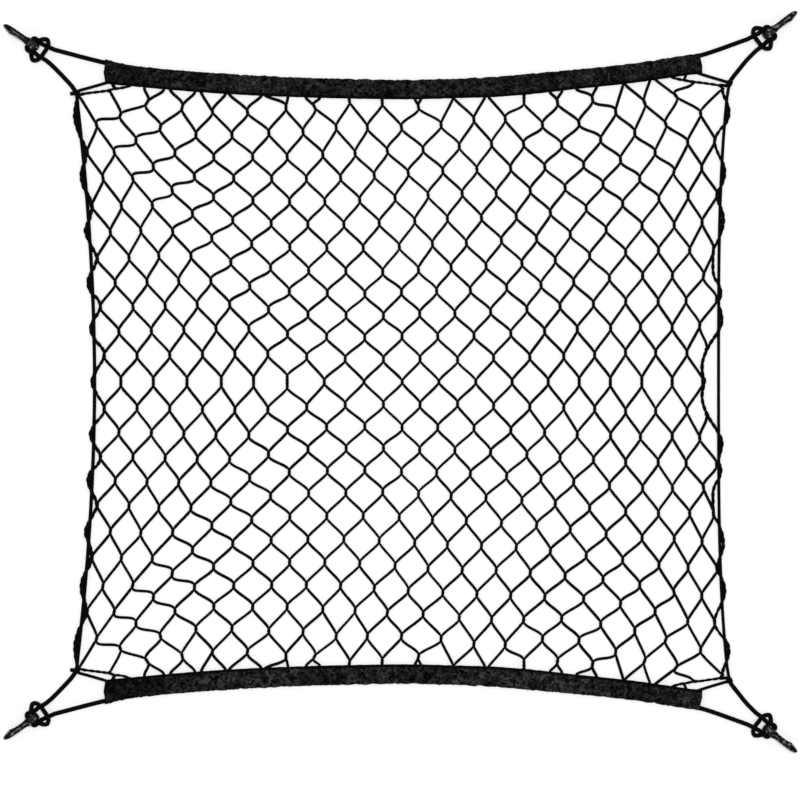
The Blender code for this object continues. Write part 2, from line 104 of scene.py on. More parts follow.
# Uneven pull on the mesh: column, row, reach in columns, in rows, and how far it moves knots along x and y
PULLS = (
    (-15, 9, 2.2, 2.2, -5.0, 0.0), (-7.5, 10.8, 3.8, 2.0, 4.5, 0.0), (-12.6, 10.6, 3.2, 1.9, 0.0, -12.0),
    (-5.5, 7.5, 1.8, 3.0, 0.0, 4.0), (-8, 2, 5.0, 2.5, 0.0, 4.0), (-0.5, 5, 2.0, 1.8, 1.0, -4.0),
    (4, 11, 1.8, 1.2, 4.5, 0.0), (12, 11, 2.5, 1.3, 7.0, 0.0), (10.3, 4.2, 2.0, 3.0, -6.0, 0.0),
    (17, 1.3, 1.8, 0.9, 9.0, -2.0), (16, 7.5, 2.0, 3.0, 4.0, 0.0), (7.3, 10.8, 2.3, 1.6, 0.0, 8.0),
    (4.5, 8.8, 3.0, 2.6, 0.0, 5.0), (13.5, 9.5, 2.2, 2.0, 0.0, -4.5), (16.5, 10, 1.2, 1.0, 0.0, -4.0),
    (-1, 11.3, 2.5, 0.8, 0.0, 3.5), (5, 11.2, 1.2, 0.6, 0.0, 5.0), (10, 11.2, 1.6, 0.8, 0.0, -5.5),
    (14, 11.3, 1.5, 0.8, 0.0, 4.5), (-15, 8.8, 1.2, 1.0, 0.0, 5.0), (-14.5, 10, 0.9, 0.6, 5.0, 0.0),
    (17, 9, 0.9, 0.8, 1.5, 5.0), (16, 1.3, 1.8, 0.8, 3.0, 0.0),
    (-13, 7, 1.6, 1.6, -2.0, 2.6), (-11, 9, 1.6, 1.0, 0.0, -2.2), (-7.5, 8.5, 2.0, 1.5, 1.6, 0.0),
    (-5.5, 10.8, 1.0, 0.8, 0.0, -2.0), (-3.5, 10.5, 1.5, 1.0, 1.8, 0.6), (-3, 11, 0.9, 0.7, 0.0, 2.0),
    (0, 8, 1.0, 0.8, 1.5, -2.0), (3.5, 10.5, 1.4, 1.1, 0.8, 2.6), (2, 3.5, 1.3, 1.2, 2.0, 0.0),
    (6, 6, 1.2, 1.0, 0.0, 1.4), (8.5, 7.8, 1.6, 1.3, 0.0, 2.6), (9.5, 8, 1.8, 1.8, -2.0, 0.0),
    (9.8, 10.5, 1.2, 0.8, 0.0, -2.8), (12.5, 6, 1.5, 2.5, -1.4, 0.0), (8.5, 4, 1.5, 1.2, -1.4, 0.0),
    (9, 2.5, 1.3, 1.0, 0.0, 1.9), (16.5, 2.3, 1.3, 1.3, 0.0, -2.0), (17, 5, 0.9, 0.8, 2.5, 0.0),
    (-13, 0, 1.6, 0.7, -2.0, 0.0), (-6, 0, 1.0, 0.7, 1.7, 0.0), (8, 0, 1.2, 0.7, 1.5, 0.0),
    (17, 0, 1.3, 0.7, -2.5, 0.0), (-7, 1.5, 1.5, 1.0, 1.2, 0.0),
    (-8, 6, 4.5, 5.0, 0.8, 0.0), (9, 6.5, 4.5, 3.0, -0.8, 0.0), (-14, 5.5, 2.0, 2.2, 0.0, 1.2),
    (-10.5, 8, 1.8, 2.0, 0.0, -1.2), (-1.5, 2.5, 2.5, 1.8, 0.0, -1.0), (6, 3, 2.0, 2.5, 0.0, 0.8),
    (-15, 10, 1.2, 0.7, 0.0, -3.0), (15.5, 8, 1.5, 1.2, 0.0, 1.2), (3, 8, 2.2, 1.8, 0.0, 0.9),
    (17, 4, 0.8, 0.8, 2.5, -2.5), (15, 1, 1.8, 0.8, 1.6, 0.0), (13, 3, 0.9, 0.8, -1.8, 0.0),
)
# Knots that are pulled by themselves: how far along x and y, by column and row
NUDGES = {
    (11, 9): (2.6, -1.4), (9, 11): (2.1, -0.8), (13, 1): (1.8, 1.3), (8, 10): (-1.7, -1.4),
    (16, 6): (-0.6, -2.0), (17, 7): (-1.9, -0.5), (-11, 5): (-1.3, 1.5), (15, 3): (1.5, -1.3),
    (-5, 1): (1.0, 1.5), (8, 2): (-1.7, 0.5), (3, 11): (1.5, 0.9), (12, 8): (1.2, -1.2),
    (-6, 10): (-1.3, -1.1), (-11, 11): (1.6, 0.5), (-13, 5): (-1.4, 0.9), (10, 2): (-1.4, 0.9),
    (1, 5): (1.2, -1.1), (3, 1): (1.0, -1.2), (1, 7): (1.3, -0.9), (0, 6): (0.7, -1.4),
    (12, 10): (1.4, -0.7),
}

# The hook's start x, y, its direction in degrees, and the corner knot's x, y
CORNERS = {-1: ((-398.6, 365.2), 145.5, (-357.8, 317.4)),
           1: ((396.4, 377.7), 37.5, (360.0, 328.0))}
# The border cord's way through the hook's eye, and back out: outwards, sideways, height
HITCH_IN = ((-14.0, 9.1, 2.6), (-6.0, 7.6, 2.6), (-1.8, 6.9, 2.7), (3.0, 6.2, 3.4), (6.6, 6.6, 4.7),
            (10.2, 7.1, 5.0), (12.3, 5.5, 5.0), (11.2, 3.2, 5.0), (11.2, -3.2, 5.0), (12.8, -6.0, 5.0),
            (10.6, -8.1, 5.0), (6.6, -7.6, 5.0), (3.0, -11.1, 5.3), (-0.8, -13.8, 6.0), (-4.2, -11.4, 6.9),
            (-6.0, -7.2, 7.3), (-6.2, 0.0, 7.4))
HITCH_OUT = ((-6.0, 7.2, 7.3), (-4.4, 11.2, 7.3), (-0.8, 13.6, 7.8), (3.0, 11.1, 8.9), (6.4, 7.2, 9.8),
             (10.2, 7.2, 9.8), (12.3, 5.5, 9.8), (11.2, 3.2, 9.7), (11.2, -3.2, 9.7), (12.8, -6.0, 9.8),
             (10.4, -7.9, 9.9), (7.0, -7.1, 9.8), (3.0, -6.1, 8.0), (-1.8, -6.5, 4.6))
# From the hook to the corner knot: outwards, sideways, height
LEG = {-1: ((-6.0, -6.3, 2.8), (-13.0, -5.9, 2.6), (-21.8, -6.8, 2.6), (-36.5, -9.6, 2.6),
            (-51.2, -12.9, 2.7)),
       1: ((-6.0, -7.0, 2.8), (-13.5, -6.8, 2.6), (-21.3, -7.7, 2.6), (-28.9, -8.8, 2.6),
           (-42.6, -12.1, 2.6), (-54.0, -15.0, 2.7))}
# From the corner knot into the sleeve's end: x, y
INNER_ROUTE = {-1: ((-357.4, 319.0), (-353.5, 320.4), (-345.4, 322.6), (-326.7, 328.0), (-318.6, 330.7)),
               1: ((358.6, 329.0), (350.9, 331.3), (338.8, 334.9), (330.0, 337.7), (321.0, 340.6))}
# Of the hooks, in their own plane: outwards, height
EYE_CENTRE, EYE_HALF = (11.1, 7.35), (2.65, 4.95)
BOSS_CENTRE, BOSS_HALF = (9.4, 7.35), (8.0, 7.35)
BOSS_HALF_WIDTH = 4.4
SQUARENESS = 5.0
BEND_CENTRE, BEND_RADIUS = (36.8, 9.5), 7.2
# Along the hook's bar: outwards, height, half thickness, half width, sideways. The bend's ends give the
# last three.
SHANK = ((16.5, 8.6, 3.3, 4.4, 0.0), (20.5, 9.2, 3.2, 3.6, 0.0), (25.0, 12.0, 3.0, 3.6, 0.0),
         (30.0, 14.8, 2.9, 3.6, 0.0), (34.0, 16.4, 2.8, 3.6, 0.0))
BEND_START, BEND_END = (2.8, 3.5, 0.0), (2.3, 2.4, -2.2)
POINT = ((32.5, 2.6, 2.1, 1.9, -1.7), (28.6, 3.6, 1.7, 1.6, -1.4))

# ---- sizes that only the looks have --------------------------------------------------------------------
HALVES_APART = 0.33          # how much farther each half lies from the middle than the solids' half
MIDDLE_REACH = 15.0          # how far from the middle that shift is complete
MESH_SIDEWAYS = 0.25         # how far to the right the mesh's free knots lie of the solid's

# Of the mesh's strands
BAR_RADIUS = 1.6             # of a strand between joints
OUTER_THICKER = 0.07         # share by which strands away from the middle are thicker
THICKER_FROM, THICKER_OVER = 60.0, 100.0         # where that begins beside the middle, and its length
UNEVEN_RADIUS = (0.07, 0.2, 9)         # share, scale and seed of a strand's uneven radius
WANDER = (0.15, 0.05)        # size and scale of a strand's uneven height
WANDER_SEED = 50
BAR_LENGTH = 33.0            # of a strand that isn't stretched, from joint to joint
SLACK_SCALE = 10.0
CURL = (0.1, 0.75, 0.55)     # how much a strand leaves along its joint: tight, slack, and turned off it
CURL_MOST = 0.8
HANDLE = (0.36, 0.1, 0.12)   # share of its length over which it bends, and how much less: slack, turned
BAR_STEPS, JOINT_STEPS = 8, 8
STRAND_SIDES = 6
STRAND_HEIGHT = 1.6          # of a strand's middle over the floor
LIFT_BEFORE, LIFT_OVER = 12, 10        # where strands begin to rise before the sleeve, and their slope
INTO_SLEEVE = 7              # how far strands go between the sleeve's layers

# Of the joints, where two strands are twisted together
JOINT_STRAND_RADIUS = 1.28   # of each strand
JOINT_TWIST_RADIUS = 0.74    # of their helix
JOINT_HALF = 3.5             # half of a joint's length
# Half of a joint's length on the line of symmetry: column, half
MIDDLE_JOINTS = ((-16, 5.7), (-14, 5.4), (-12, 5.5), (-10, 6.0), (-8, 6.2), (-6, 8.0), (-4, 3.5), (-2, 1.8),
                 (0, 2.4), (2, 2.2), (4, 2.8), (6, 3.2), (8, 3.8), (10, 5.0), (12, 5.5), (14, 6.0),
                 (16, 5.5), (18, 4.5))
LONG_JOINT = 4.5             # a joint whose half is longer has one more turn
TURNS, LONG_TURNS = 1.5, 2.5
UPRIGHT_PULL = 0.9           # keeps a joint upright against its strands, which pull with 1 when tight
SLACK_PULL = 0.12            # of a slack strand

# Of the mesh's doubled edge
TWIST_PITCH = 15.0           # of its two strands
CROSSING_LENGTH = 7.0        # half of the cord's rise where the edge strand lies under it
CROSSING_RISE = 3.2
EDGE_SPACING = 2.6
EDGE_LIE = 1.1               # height of its middle over the floor, as a share of its radius
EDGE_TOP, EDGE_END = 314, 350          # y above which and x up to which it lies by the sleeve
EDGE_UNEVEN = (0.12, 0.11, 3.0)        # share, scale and seed of its uneven radius
# Shares of its radius: how far each strand is from its middle, each strand's radius, and its least height
EDGE_TWIST, EDGE_STRAND, EDGE_LOWEST = 0.4, 0.8, 0.75
SHORT_SIDES, SHORT_SPACING = 8, 1.0
# The mesh's hidden edge in a sleeve
BAND_HALF_LENGTH, BAND_HEIGHT, BAND_RADIUS, BAND_STEPS = 300.0, 3.1, 0.9, 60

# Of the cords, with their pile
BORDER_RADIUS, INNER_RADIUS = 2.5, 1.7
SIDE_RADIUS = {-1: 2.0, 1: 1.75}
BORDER_END_RISE = (0.8, 1.7)           # of the border cord where it leaves the sleeve
# The side cords' own sag: x in the middle, how far out it goes at a height, and the curve's power
SIDE_SAG = {-1: (-338.1, 20.1, 316.0, 1.92), 1: (348.2, 11.0, 328.0, 3.5)}
CORD_SIDES = 12
HITCH_SPACING, CORD_SPACING, FOLD_SPACING = 1.6, 3.0, 6.0
SIDE_STEPS = 120
INSIDE_KNOT = 1.5            # from the corner knot's middle to a cord's end in it

# Of the corner knots
KNOT_CORD, NUB_CORD, KNOT_SIDES = 1.9, 2.2, 10
KNOT_SCALE, KNOT_STEPS = (0.8, 0.85, 1.3), 60
NUB_LENGTH = {-1: 6.6, 1: 1.6}
NUB_SPACING = 0.8
# The short cord end: x in millimetres and as a share of its length, y, height
NUB_ROUTE = ((0.5, 0.0, -0.2, 0.0), (0.0, 0.7, -0.7, -0.6), (0.0, 1.0, -1.0, -1.2))

# Of the sleeves
SLEEVE_STATIONS = 330
# How much wider than its pattern the sleeve is at a place along it: at the lower edge, and at the fold
SLEEVE_WIDER = ((-327.0, 1.6, 1.7), (-322.0, 1.6, 1.4), (-316.0, 1.6, 0.2), (-300.0, 1.5, -0.8),
                (-250.0, 1.3, 0.0), (-190.0, 0.8, 0.9), (-120.0, 0.3, 0.8), (-60.0, 0.4, 0.6),
                (0.0, 0.9, -0.2), (60.0, 1.1, -0.3), (100.0, 2.2, -0.6), (140.0, 2.1, 0.0),
                (190.0, 0.9, 0.0), (260.0, 1.2, -0.4), (300.0, 0.5, 0.6), (328.0, 0.4, 0.8))
# Its uneven outlines: size, scale and seed of each drift
FOLD_DRIFTS = ((1.0, 0.11, 60), (0.8, 0.33, 90))
HEM_DRIFT = (0.35, 0.16, 120)
FOLD_REACH = 4.0             # how far from the fold its outline moves the cloth
# Bumps of the cloth: size, scale along, across and up, seed, and the height over which they begin
BUMPS = ((0.5, 0.16, 0.2, 0.3, 7), (0.35, 0.42, 0.45, 0.5, 40))
BUMPS_BEGIN = 2.0
SLEEVE_END_REACH = 5.0       # how far into the sleeve its ends are uneven
# Its left end's shift along x, the further shift at a bulge, and the bulge's place across and half width
LEFT_SHIFT, LEFT_BULGE, BULGE_PLACE, BULGE_HALF = -0.9, -1.7, 12.6, 2.6
# Its right end's shift along x, the further shift over a slant, and the slant's place across and width
RIGHT_SHIFT, RIGHT_SLANT, SLANT_FROM, SLANT_OVER = -0.4, 2.6, 6.0, 8.0
# Its section: points along the bottom, round the fold, down the slope and along the top, where the slope
# ends as shares of the way to the lip, and how much shorter the top is than the bottom
BOTTOM_STEPS, FOLD_TURN_STEPS, SLOPE_STEPS, TOP_STEPS = 8, 12, 8, 12
SLOPE_OUT, SLOPE_DOWN = 0.45, 0.6
TOP_SHORTER = 0.6
DARK_END = (-0.33, -0.2, 0.4, 0.95)    # two places along x in metres, and how bright the sleeves are there
LOWER_EDGE, EDGE_BLUR = 2.6, 0.5       # width of the painted shade strip along the lower edge, and half of its blur

# Of the hooks
RING_POINTS, SECTION_POINTS, BEND_STEPS = 48, 28, 20
BOSS_POWER, BAR_POWER, TIP_POWER = 4.0, 4.0, 3.0       # of the sections: 2 is an ellipse, more is squarer
BOSS_TAPER = 0.3             # share by which the boss is narrower towards the net
# At the bend's outermost section: its share of the width, its power, and its shift sideways and outwards
NOSE_WIDTH, NOSE_POWER, NOSE_SHIFT, NOSE_REACH = 0.74, 1.7, 0.9, 0.9
GROOVE, GROOVE_HALF, GROOVE_EDGE = 0.7, 0.5, 6   # depth, share of the flank, and how sharply it ends
RIDGE, RIDGE_HALF = 0.55, 0.28         # height, and share of the outer side
RIDGE_END, RIDGE_FADE = 0.75, 6        # share of the bar where the ridge ends, and how fast it fades
# The point's rounded end: how far past the last section, and the share of that section that is left
TIP = ((0.9, 0.85), (1.5, 0.55), (1.8, 0.2))
TIP_SLOPE = 0.25
LINE_HALF, LINE_BLUR = 0.3, 0.85       # half width of the painted highlight line along the ridge's crest, and where it has faded out beside it
LINE_END, LINE_FADE = 23.0, 3          # where the painted highlight line ends, along the shank, and over which length
OFF_LINE = 100.0             # puts a skin's UV map off the painted highlight line
BEND_HIGHLIGHT = (36.0, 46.0)        # from where to where along the hook the bend has a painted highlight

# ---- joints and strands of the upper half that the looks place one by one ------------------------------
# Knots of the row below the sleeve: column, joint's top x, y, bottom x, y, and where its left and right
# strand reach the sleeve's edge
SLEEVE_KNOTS = (
    (-14, -278.3, 310.2, -282.7, 303.1, -283.2, 321.8, -261.8, 321.2),
    (-12, -240.9, 305.2, -242.6, 297.6, -255.2, 321.2, -227.7, 318.5),
    (-10, -209.0, 298.7, -207.9, 294.2, -221.1, 318.5, -193.6, 316.8),
    (-8, -170.5, 299.8, -169.4, 293.2, -190.3, 316.2, -154.0, 315.2),
    (-6, -127.6, 305.2, -127.6, 297.6, -151.8, 315.7, -125.4, 313.0),
    (-4, -97.9, 305.2, -94.6, 298.7, -105.6, 312.4, -90.2, 311.9),
    (-2, -58.3, 312.4, -57.2, 305.2, -58.9, 314.1, -58.9, 314.1),
    (0, -22.0, 311.9, -21.5, 303.1, -22.0, 314.1, -22.0, 314.1),
    (2, 17.6, 305.2, 18.7, 298.7, 14.3, 310.8, 20.9, 310.8),
    (4, 56.1, 316.2, 56.7, 310.8, 55.0, 318.5, 58.3, 318.5),
    (6, 92.4, 319.6, 93.0, 314.6, 90.2, 321.8, 94.6, 321.8),
    (8, 134.2, 315.2, 134.2, 304.2, 133.1, 317.4, 135.3, 317.4),
    (10, 170.5, 310.8, 171.6, 303.1, 162.8, 318.5, 176.0, 319.6),
    (12, 209.0, 314.1, 210.1, 306.9, 191.4, 322.3, 214.5, 325.1),
    (14, 244.2, 332.8, 244.2, 327.2, 242.0, 335.0, 246.4, 335.0),
    (16, 273.9, 339.0, 274.5, 335.0, 272.8, 342.0, 276.0, 342.0),
)
# Joints near the corners and along the right edge: column, row, top x, y, bottom x, y
CORNER_JOINTS = (
    (19, 1, 335.6, 38.5, 333.9, 34.0),
    (-17, 11, -357.0, 316.0, -354.4, 311.8), (19, 11, 353.4, 322.5, 350.6, 319.5),
    (-16, 12, -322.6, 320.6, -321.6, 318.4), (-15, 11, -308.7, 296.0, -310.9, 290.0),
    (-13, 11, -264.9, 283.0, -266.6, 275.6), (-16, 10, -336.8, 285.5, -335.1, 279.0),
    (-14, 10, -292.6, 268.9, -292.6, 261.8), (-12, 10, -249.5, 254.9, -249.9, 248.3),
    (-15, 9, -317.2, 255.8, -315.9, 249.2), (-13, 9, -273.7, 239.9, -273.2, 232.9),
    (-16, 8, -329.6, 228.0, -328.2, 220.1), (-14, 8, -297.0, 226.7, -295.2, 219.7),
    (-12, 8, -253.4, 214.4, -252.1, 206.6),
    (18, 12, 320.1, 329.1, 319.6, 326.7), (17, 11, 299.2, 317.0, 303.5, 311.0),
    (15, 11, 265.4, 310.5, 268.2, 302.8), (13, 11, 234.7, 300.5, 235.4, 293.2),
    (18, 10, 328.2, 298.2, 328.7, 291.3), (16, 10, 288.9, 286.8, 291.2, 280.0),
    (14, 10, 255.9, 277.5, 256.1, 269.8), (19, 9, 344.1, 268.4, 343.4, 260.4),
    (17, 9, 314.0, 266.5, 314.5, 260.0), (15, 9, 278.3, 255.5, 278.5, 248.7),
    (13, 9, 240.0, 247.8, 240.6, 240.0), (18, 8, 329.7, 238.6, 329.7, 231.3),
    (16, 8, 299.9, 234.1, 298.4, 227.6), (14, 8, 261.4, 226.7, 261.6, 219.5),
    (19, 5, 342.7, 150.2, 342.5, 140.5), (18, 4, 332.2, 120.1, 331.1, 112.4),
    (19, 3, 346.0, 94.6, 346.0, 86.4),
)
# Bars that run along the doubled edge strand and are part of it: the joints at both ends
EDGE_BARS = (((-16, 12), (-17, 11)), ((18, 12), (19, 11)), ((19, 1), (18, 0)))
# Short strands from the sleeve to the edge strand: x, y of both ends, radius
SHORT_STRANDS = ((-319.5, 329.5, -315.8, 322.3, 1.9), (313.2, 339.0, 310.4, 332.2, 1.6),
                 (349.5, 326.0, 359.0, 325.0, 1.8))
# The mesh's doubled edge strand from the sleeve to the corner and down: x, y, radius, and where it crosses
# the side cord, whether it lies over it (1) or under it (-1)
SELVEDGE = {
    -1: ((-293.0, 328.0, 1.2), (-302.5, 324.2, 1.5), (-311.3, 322.4, 1.4), (-316.8, 321.9, 1.5),
         (-321.2, 320.4, 1.5), (-332.2, 318.7, 1.5), (-343.2, 317.4, 1.5), (-352.0, 316.0, 1.6),
         (-355.9, 313.6, 1.7, 1), (-357.3, 308.5, 2.3, 1), (-359.0, 300.9, 2.0), (-359.3, 293.2, 2.6),
         (-358.5, 285.5, 2.6), (-356.4, 277.2, 2.1), (-354.0, 269.4, 1.8, -1), (-349.8, 261.7, 1.9),
         (-347.9, 255.8, 2.0), (-347.6, 248.0, 1.8), (-349.4, 239.3, 2.1, 1), (-352.1, 231.5, 2.1),
         (-352.3, 225.0, 2.4), (-350.9, 216.0, 2.0), (-348.8, 211.0, 1.8, -1), (-344.8, 203.3, 2.5),
         (-341.2, 192.4, 2.1), (-342.0, 185.0, 1.8), (-343.6, 178.7, 1.9, 1), (-347.5, 166.6, 2.5),
         (-346.6, 160.0, 2.2), (-344.0, 154.0, 1.8, -1), (-340.4, 146.8, 2.0), (-335.5, 135.8, 1.9),
         (-338.9, 124.8, 1.9), (-341.4, 120.0, 1.8, 1), (-344.7, 110.5, 2.5), (-343.6, 101.7, 2.1),
         (-340.5, 96.2, 1.7, -1), (-335.0, 91.3, 1.8), (-331.5, 81.9, 1.9), (-336.0, 72.6, 1.9),
         (-339.2, 67.6, 1.8, 1), (-342.3, 58.8, 2.2), (-341.8, 54.4, 2.0), (-337.7, 46.2, 1.8, -1),
         (-328.0, 33.5, 1.8), (-329.0, 24.0, 1.6), (-335.0, 14.0, 1.7, 1), (-341.0, 0.0, 1.9)),
    1: ((291.0, 337.0, 1.2), (299.2, 333.9, 1.5), (306.9, 331.9, 1.4), (313.5, 330.8, 1.4),
        (320.1, 329.5, 1.7), (327.8, 328.8, 1.4), (338.8, 327.3, 1.4), (347.6, 325.9, 1.5),
        (351.5, 324.3, 1.9), (352.4, 319.6, 1.8), (354.0, 314.1, 1.7), (356.6, 308.0, 1.6, 1),
        (359.0, 300.9, 1.9), (359.4, 295.4, 2.1), (358.6, 289.9, 1.9), (355.9, 283.8, 1.6, -1),
        (352.2, 280.0, 1.5), (348.2, 274.5, 1.5), (344.5, 267.9, 1.7), (343.9, 262.4, 1.7),
        (346.0, 254.7, 1.5), (349.8, 246.4, 1.6), (352.2, 241.5, 1.7, 1), (354.2, 234.9, 2.0),
        (354.7, 228.3, 2.1), (353.4, 220.6, 1.8), (350.7, 214.0, 1.6, -1), (346.7, 206.6, 2.4),
        (348.0, 198.6, 2.0), (350.5, 190.9, 1.7, 1), (352.9, 183.2, 1.9), (353.3, 175.5, 2.1),
        (351.9, 166.7, 1.8), (349.3, 159.0, 1.5, -1), (346.5, 152.4, 1.7), (343.0, 147.4, 1.7),
        (342.4, 140.3, 1.7), (342.1, 131.5, 1.75), (342.2, 120.5, 1.8), (343.9, 113.9, 1.65),
        (347.1, 108.4, 1.5, 1), (349.9, 102.9, 1.7), (350.8, 96.8, 1.85), (349.6, 91.0, 1.6),
        (347.8, 87.0, 1.5, -1), (349.5, 80.9, 1.6), (351.4, 72.1, 1.9), (351.7, 65.5, 2.0),
        (350.2, 60.0, 1.7), (347.6, 55.0, 1.7, -1), (343.6, 48.6, 1.8), (338.0, 40.0, 1.8),
        (332.8, 29.0, 1.8), (330.1, 18.2, 1.8), (330.8, 7.2, 2.0), (332.2, 0.0, 2.5)),
}

# Floor, light and camera, in metres
FLOOR_SIZE, FLOOR_HEIGHT = 80.0, -0.0002
CAMERA_HEIGHT = 10.0
LAMP_PLACE = (0.1, 0.15, 3.0)
LAMP_ANGLE = 14.0            # how wide the light looks from the net
LAMP_STRENGTH, SKY_STRENGTH = 2.25, 0.45
VIEW_END = 100.0
PICTURE_WIDTH = 0.88
PICTURE_CENTRE = (-0.0004, -0.02002)
SENSOR_WIDTH = 36.0


def smooth(t):
    """Eases from 0 to 1."""
    t = min(1.0, max(0.0, t))
    return t * t * (3 - 2 * t)


def mix(a, b, t):
    return a + (b - a) * t


def read_table(rows, at, column):
    """The value of a column at a place between the rows, which begin with their own place."""
    if at <= rows[0][0]:
        return rows[0][column]
    for low, high in zip(rows, rows[1:]):
        if at <= high[0]:
            return mix(low[column], high[column], (at - low[0]) / (high[0] - low[0]))
    return rows[-1][column]


def drift(along, size, scale, seed, lane=0):
    """An uneven offset along a line."""
    return size * noise.noise(Vector((along * scale, lane, seed)))


def uneven(place, size, scale, seed):
    """An uneven offset at a place of the mesh."""
    return size * noise.noise(Vector((place.x, place.y, seed)) * scale)


def directions(points):
    """The way that a line goes at each of its points."""
    return [(after - before).normalized()
            for before, after in zip(points[:1] + points[:-1], points[1:] + points[-1:])]


# ---- edges of the net ----------------------------------------------------------------------------------
def sleeve_middle(x):
    """Middle of the upper sleeve along y."""
    end = 0 if x < 0 else 1
    return SLEEVE_MIDDLE_Y + SLEEVE_RISE[end] * abs(x / SLEEVE_ENDS[end]) ** SLEEVE_RISE_POWER[end]


def sleeve_half(x):
    left = SLEEVE_END_WIDER[0] * math.exp((SLEEVE_ENDS[0] - x) / SLEEVE_END_LENGTH)
    right = SLEEVE_END_WIDER[1] * math.exp((x - SLEEVE_ENDS[1]) / SLEEVE_END_LENGTH)
    return SLEEVE_HALF + left + right


def fold_y(x):
    """Middle of the sleeve's fold, where the border cord runs."""
    return sleeve_middle(x) + sleeve_half(x) - FOLD_RADIUS


def side_cord_x(side, y, curve=SIDE_CURVE):
    """The side cord's sag, as a table gives it."""
    x, out, height, power = curve[side]
    return x + side * out * (abs(y) / height) ** power


# ---- knots of the mesh ---------------------------------------------------------------------------------
def free_knot(column, row):
    """A knot before the mesh is bent to its edges: the cells' sizes added up from the middle."""
    x = CENTRE_DRIFT * (row / TOP_ROW) ** CENTRE_DRIFT_POWER
    side = 1 if column > 0 else -1
    for i in range(abs(column)):
        diagonal = side * (i + 0.5 - row)
        x += side * read_table(CELLS[side], diagonal, 1) / 2
    side = 1 if column >= 0 else -1
    diagonals = (column - side * (j + 0.5) for j in range(row))
    y = sum(read_table(CELLS[side], diagonal, 2) / 2 for diagonal in diagonals)
    return x, y


def end_knot(row, side):
    """The outermost knot of a row: its column, x, y."""
    if row in END_KNOTS:
        return END_KNOTS[row][:3] if side < 0 else END_KNOTS[row][3:]
    y = read_table(EDGE_KNOTS, row, 1 if side < 0 else 3)
    gap = read_table(EDGE_KNOTS, row, 2 if side < 0 else 4)
    return (LEFT_COLUMN if side < 0 else RIGHT_COLUMN), side_cord_x(side, y) - side * gap, y


def knot(column, row):
    """Where a knot lies in the upper half."""
    if row == CORNER_ROW and column in (LEFT_COLUMN, RIGHT_COLUMN):
        side = 1 if column > 0 else -1
        x, y = CORNERS[side][2]
        return x - side * CORNER_INWARDS, y - CORNER_DOWN
    x, y = free_knot(column, row)
    end_column, end_x, end_y = end_knot(row, -1 if column < 0 else 1)
    raw_x, raw_y = free_knot(end_column, row)
    outwards = smooth((abs(column) - WARP_FROM_COLUMN) / (abs(end_column) - WARP_FROM_COLUMN))
    x += (end_x - raw_x) * outwards
    y += (end_y - raw_y) * outwards
    if outwards < 1:
        top_x, top_y = free_knot(column, SLEEVE_ROW)
        change = smooth((top_x - TOP_ROW_CHANGE[0]) / (TOP_ROW_CHANGE[1] - TOP_ROW_CHANGE[0]))
        rise = smooth((row - SLEEVE_ROW + WARP_ROWS) / WARP_ROWS) * (1 - outwards)
        y += (sleeve_middle(top_x) + mix(*TOP_ROW_RISE, change) - top_y) * rise
        for at, up, columns, rows, push_x, push_y in PULLS:
            near = math.exp(-((column - at) / columns) ** 2 - ((row - up) / rows) ** 2)
            x += push_x * near
            y += push_y * near if row else 0.0
        nudge_x, nudge_y = NUDGES.get((column, row), (0.0, 0.0))
        x, y = x + nudge_x + MESH_SIDEWAYS * (1 - outwards), y + nudge_y
    return x, y


class Joint:
    """Two strands twisted together over a short length, with a top and a bottom end."""

    def __init__(self, top, bottom, turns=TURNS):
        self.top, self.bottom, self.turns = Vector(top), Vector(bottom), turns
        self.axis = (self.top - self.bottom).normalized()
        self.across = Vector((self.axis.y, -self.axis.x))

    def mirrored(self):
        """The same joint in the lower half."""
        return Joint(self.bottom * MIRROR, self.top * MIRROR, self.turns)


def knot_places():
    """The knots of the upper half, by column and row."""
    places = {}
    for row in range(CORNER_ROW + 1):
        for column in range(LEFT_COLUMN, RIGHT_COLUMN + 1):
            if (column + row) % 2 == 0:
                places[column, row] = Vector(knot(column, row))
    for column, *sizes in SLEEVE_KNOTS:
        places[column, TOP_ROW] = (Vector(sizes[:2]) + Vector(sizes[2:4])) / 2
    for column in (LEFT_COLUMN + 1, RIGHT_COLUMN - 1):
        places[column, TOP_ROW] = Vector(knot(column, TOP_ROW))
    return places


def joint_axis(places, column, row):
    """Which way a joint's four strands turn it. A tight strand pulls more than a slack one."""
    pull = Vector((0.0, UPRIGHT_PULL))
    for side, up in ((-1, -1), (-1, 1), (1, -1), (1, 1)):
        other = places.get((column + side, row + up))
        if other is not None:
            chord = other - places[column, row]
            tight = 1 - min(1.0, max(0.0, (BAR_LENGTH - chord.length) / SLACK_SCALE))
            pull += chord.normalized() * up * mix(SLACK_PULL, 1.0, tight)
    return pull.normalized()


def make_joints():
    """All joints of the mesh, by column and row. The lower half's rows are below 0."""
    places = knot_places()
    joints = {}
    for (column, row), place in places.items():
        axis, half = joint_axis(places, column, row), JOINT_HALF
        if row == 0:
            axis, half = Vector((0.0, 1.0)), read_table(MIDDLE_JOINTS, column, 1)
        turns = LONG_TURNS if half > LONG_JOINT else TURNS
        joints[column, row] = Joint(place + axis * half, place - axis * half, turns)
    for column, *sizes in SLEEVE_KNOTS:
        joints[column, TOP_ROW] = Joint(sizes[:2], sizes[2:4])
    for column, row, *sizes in CORNER_JOINTS:
        joints[column, row] = Joint(sizes[:2], sizes[2:])
    lower = {(column, -row): joint.mirrored() for (column, row), joint in joints.items() if row}
    return {**joints, **lower}


# ---- mesh tools ----------------------------------------------------------------------------------------
def world(x, y, z):
    """A place in metres. The two halves lie a little farther from the middle than the solids do."""
    apart = math.copysign(HALVES_APART * smooth(abs(y) / MIDDLE_REACH), y)
    return ((x + CENTRE_X) * MM, (y + apart) * MM, z * MM)


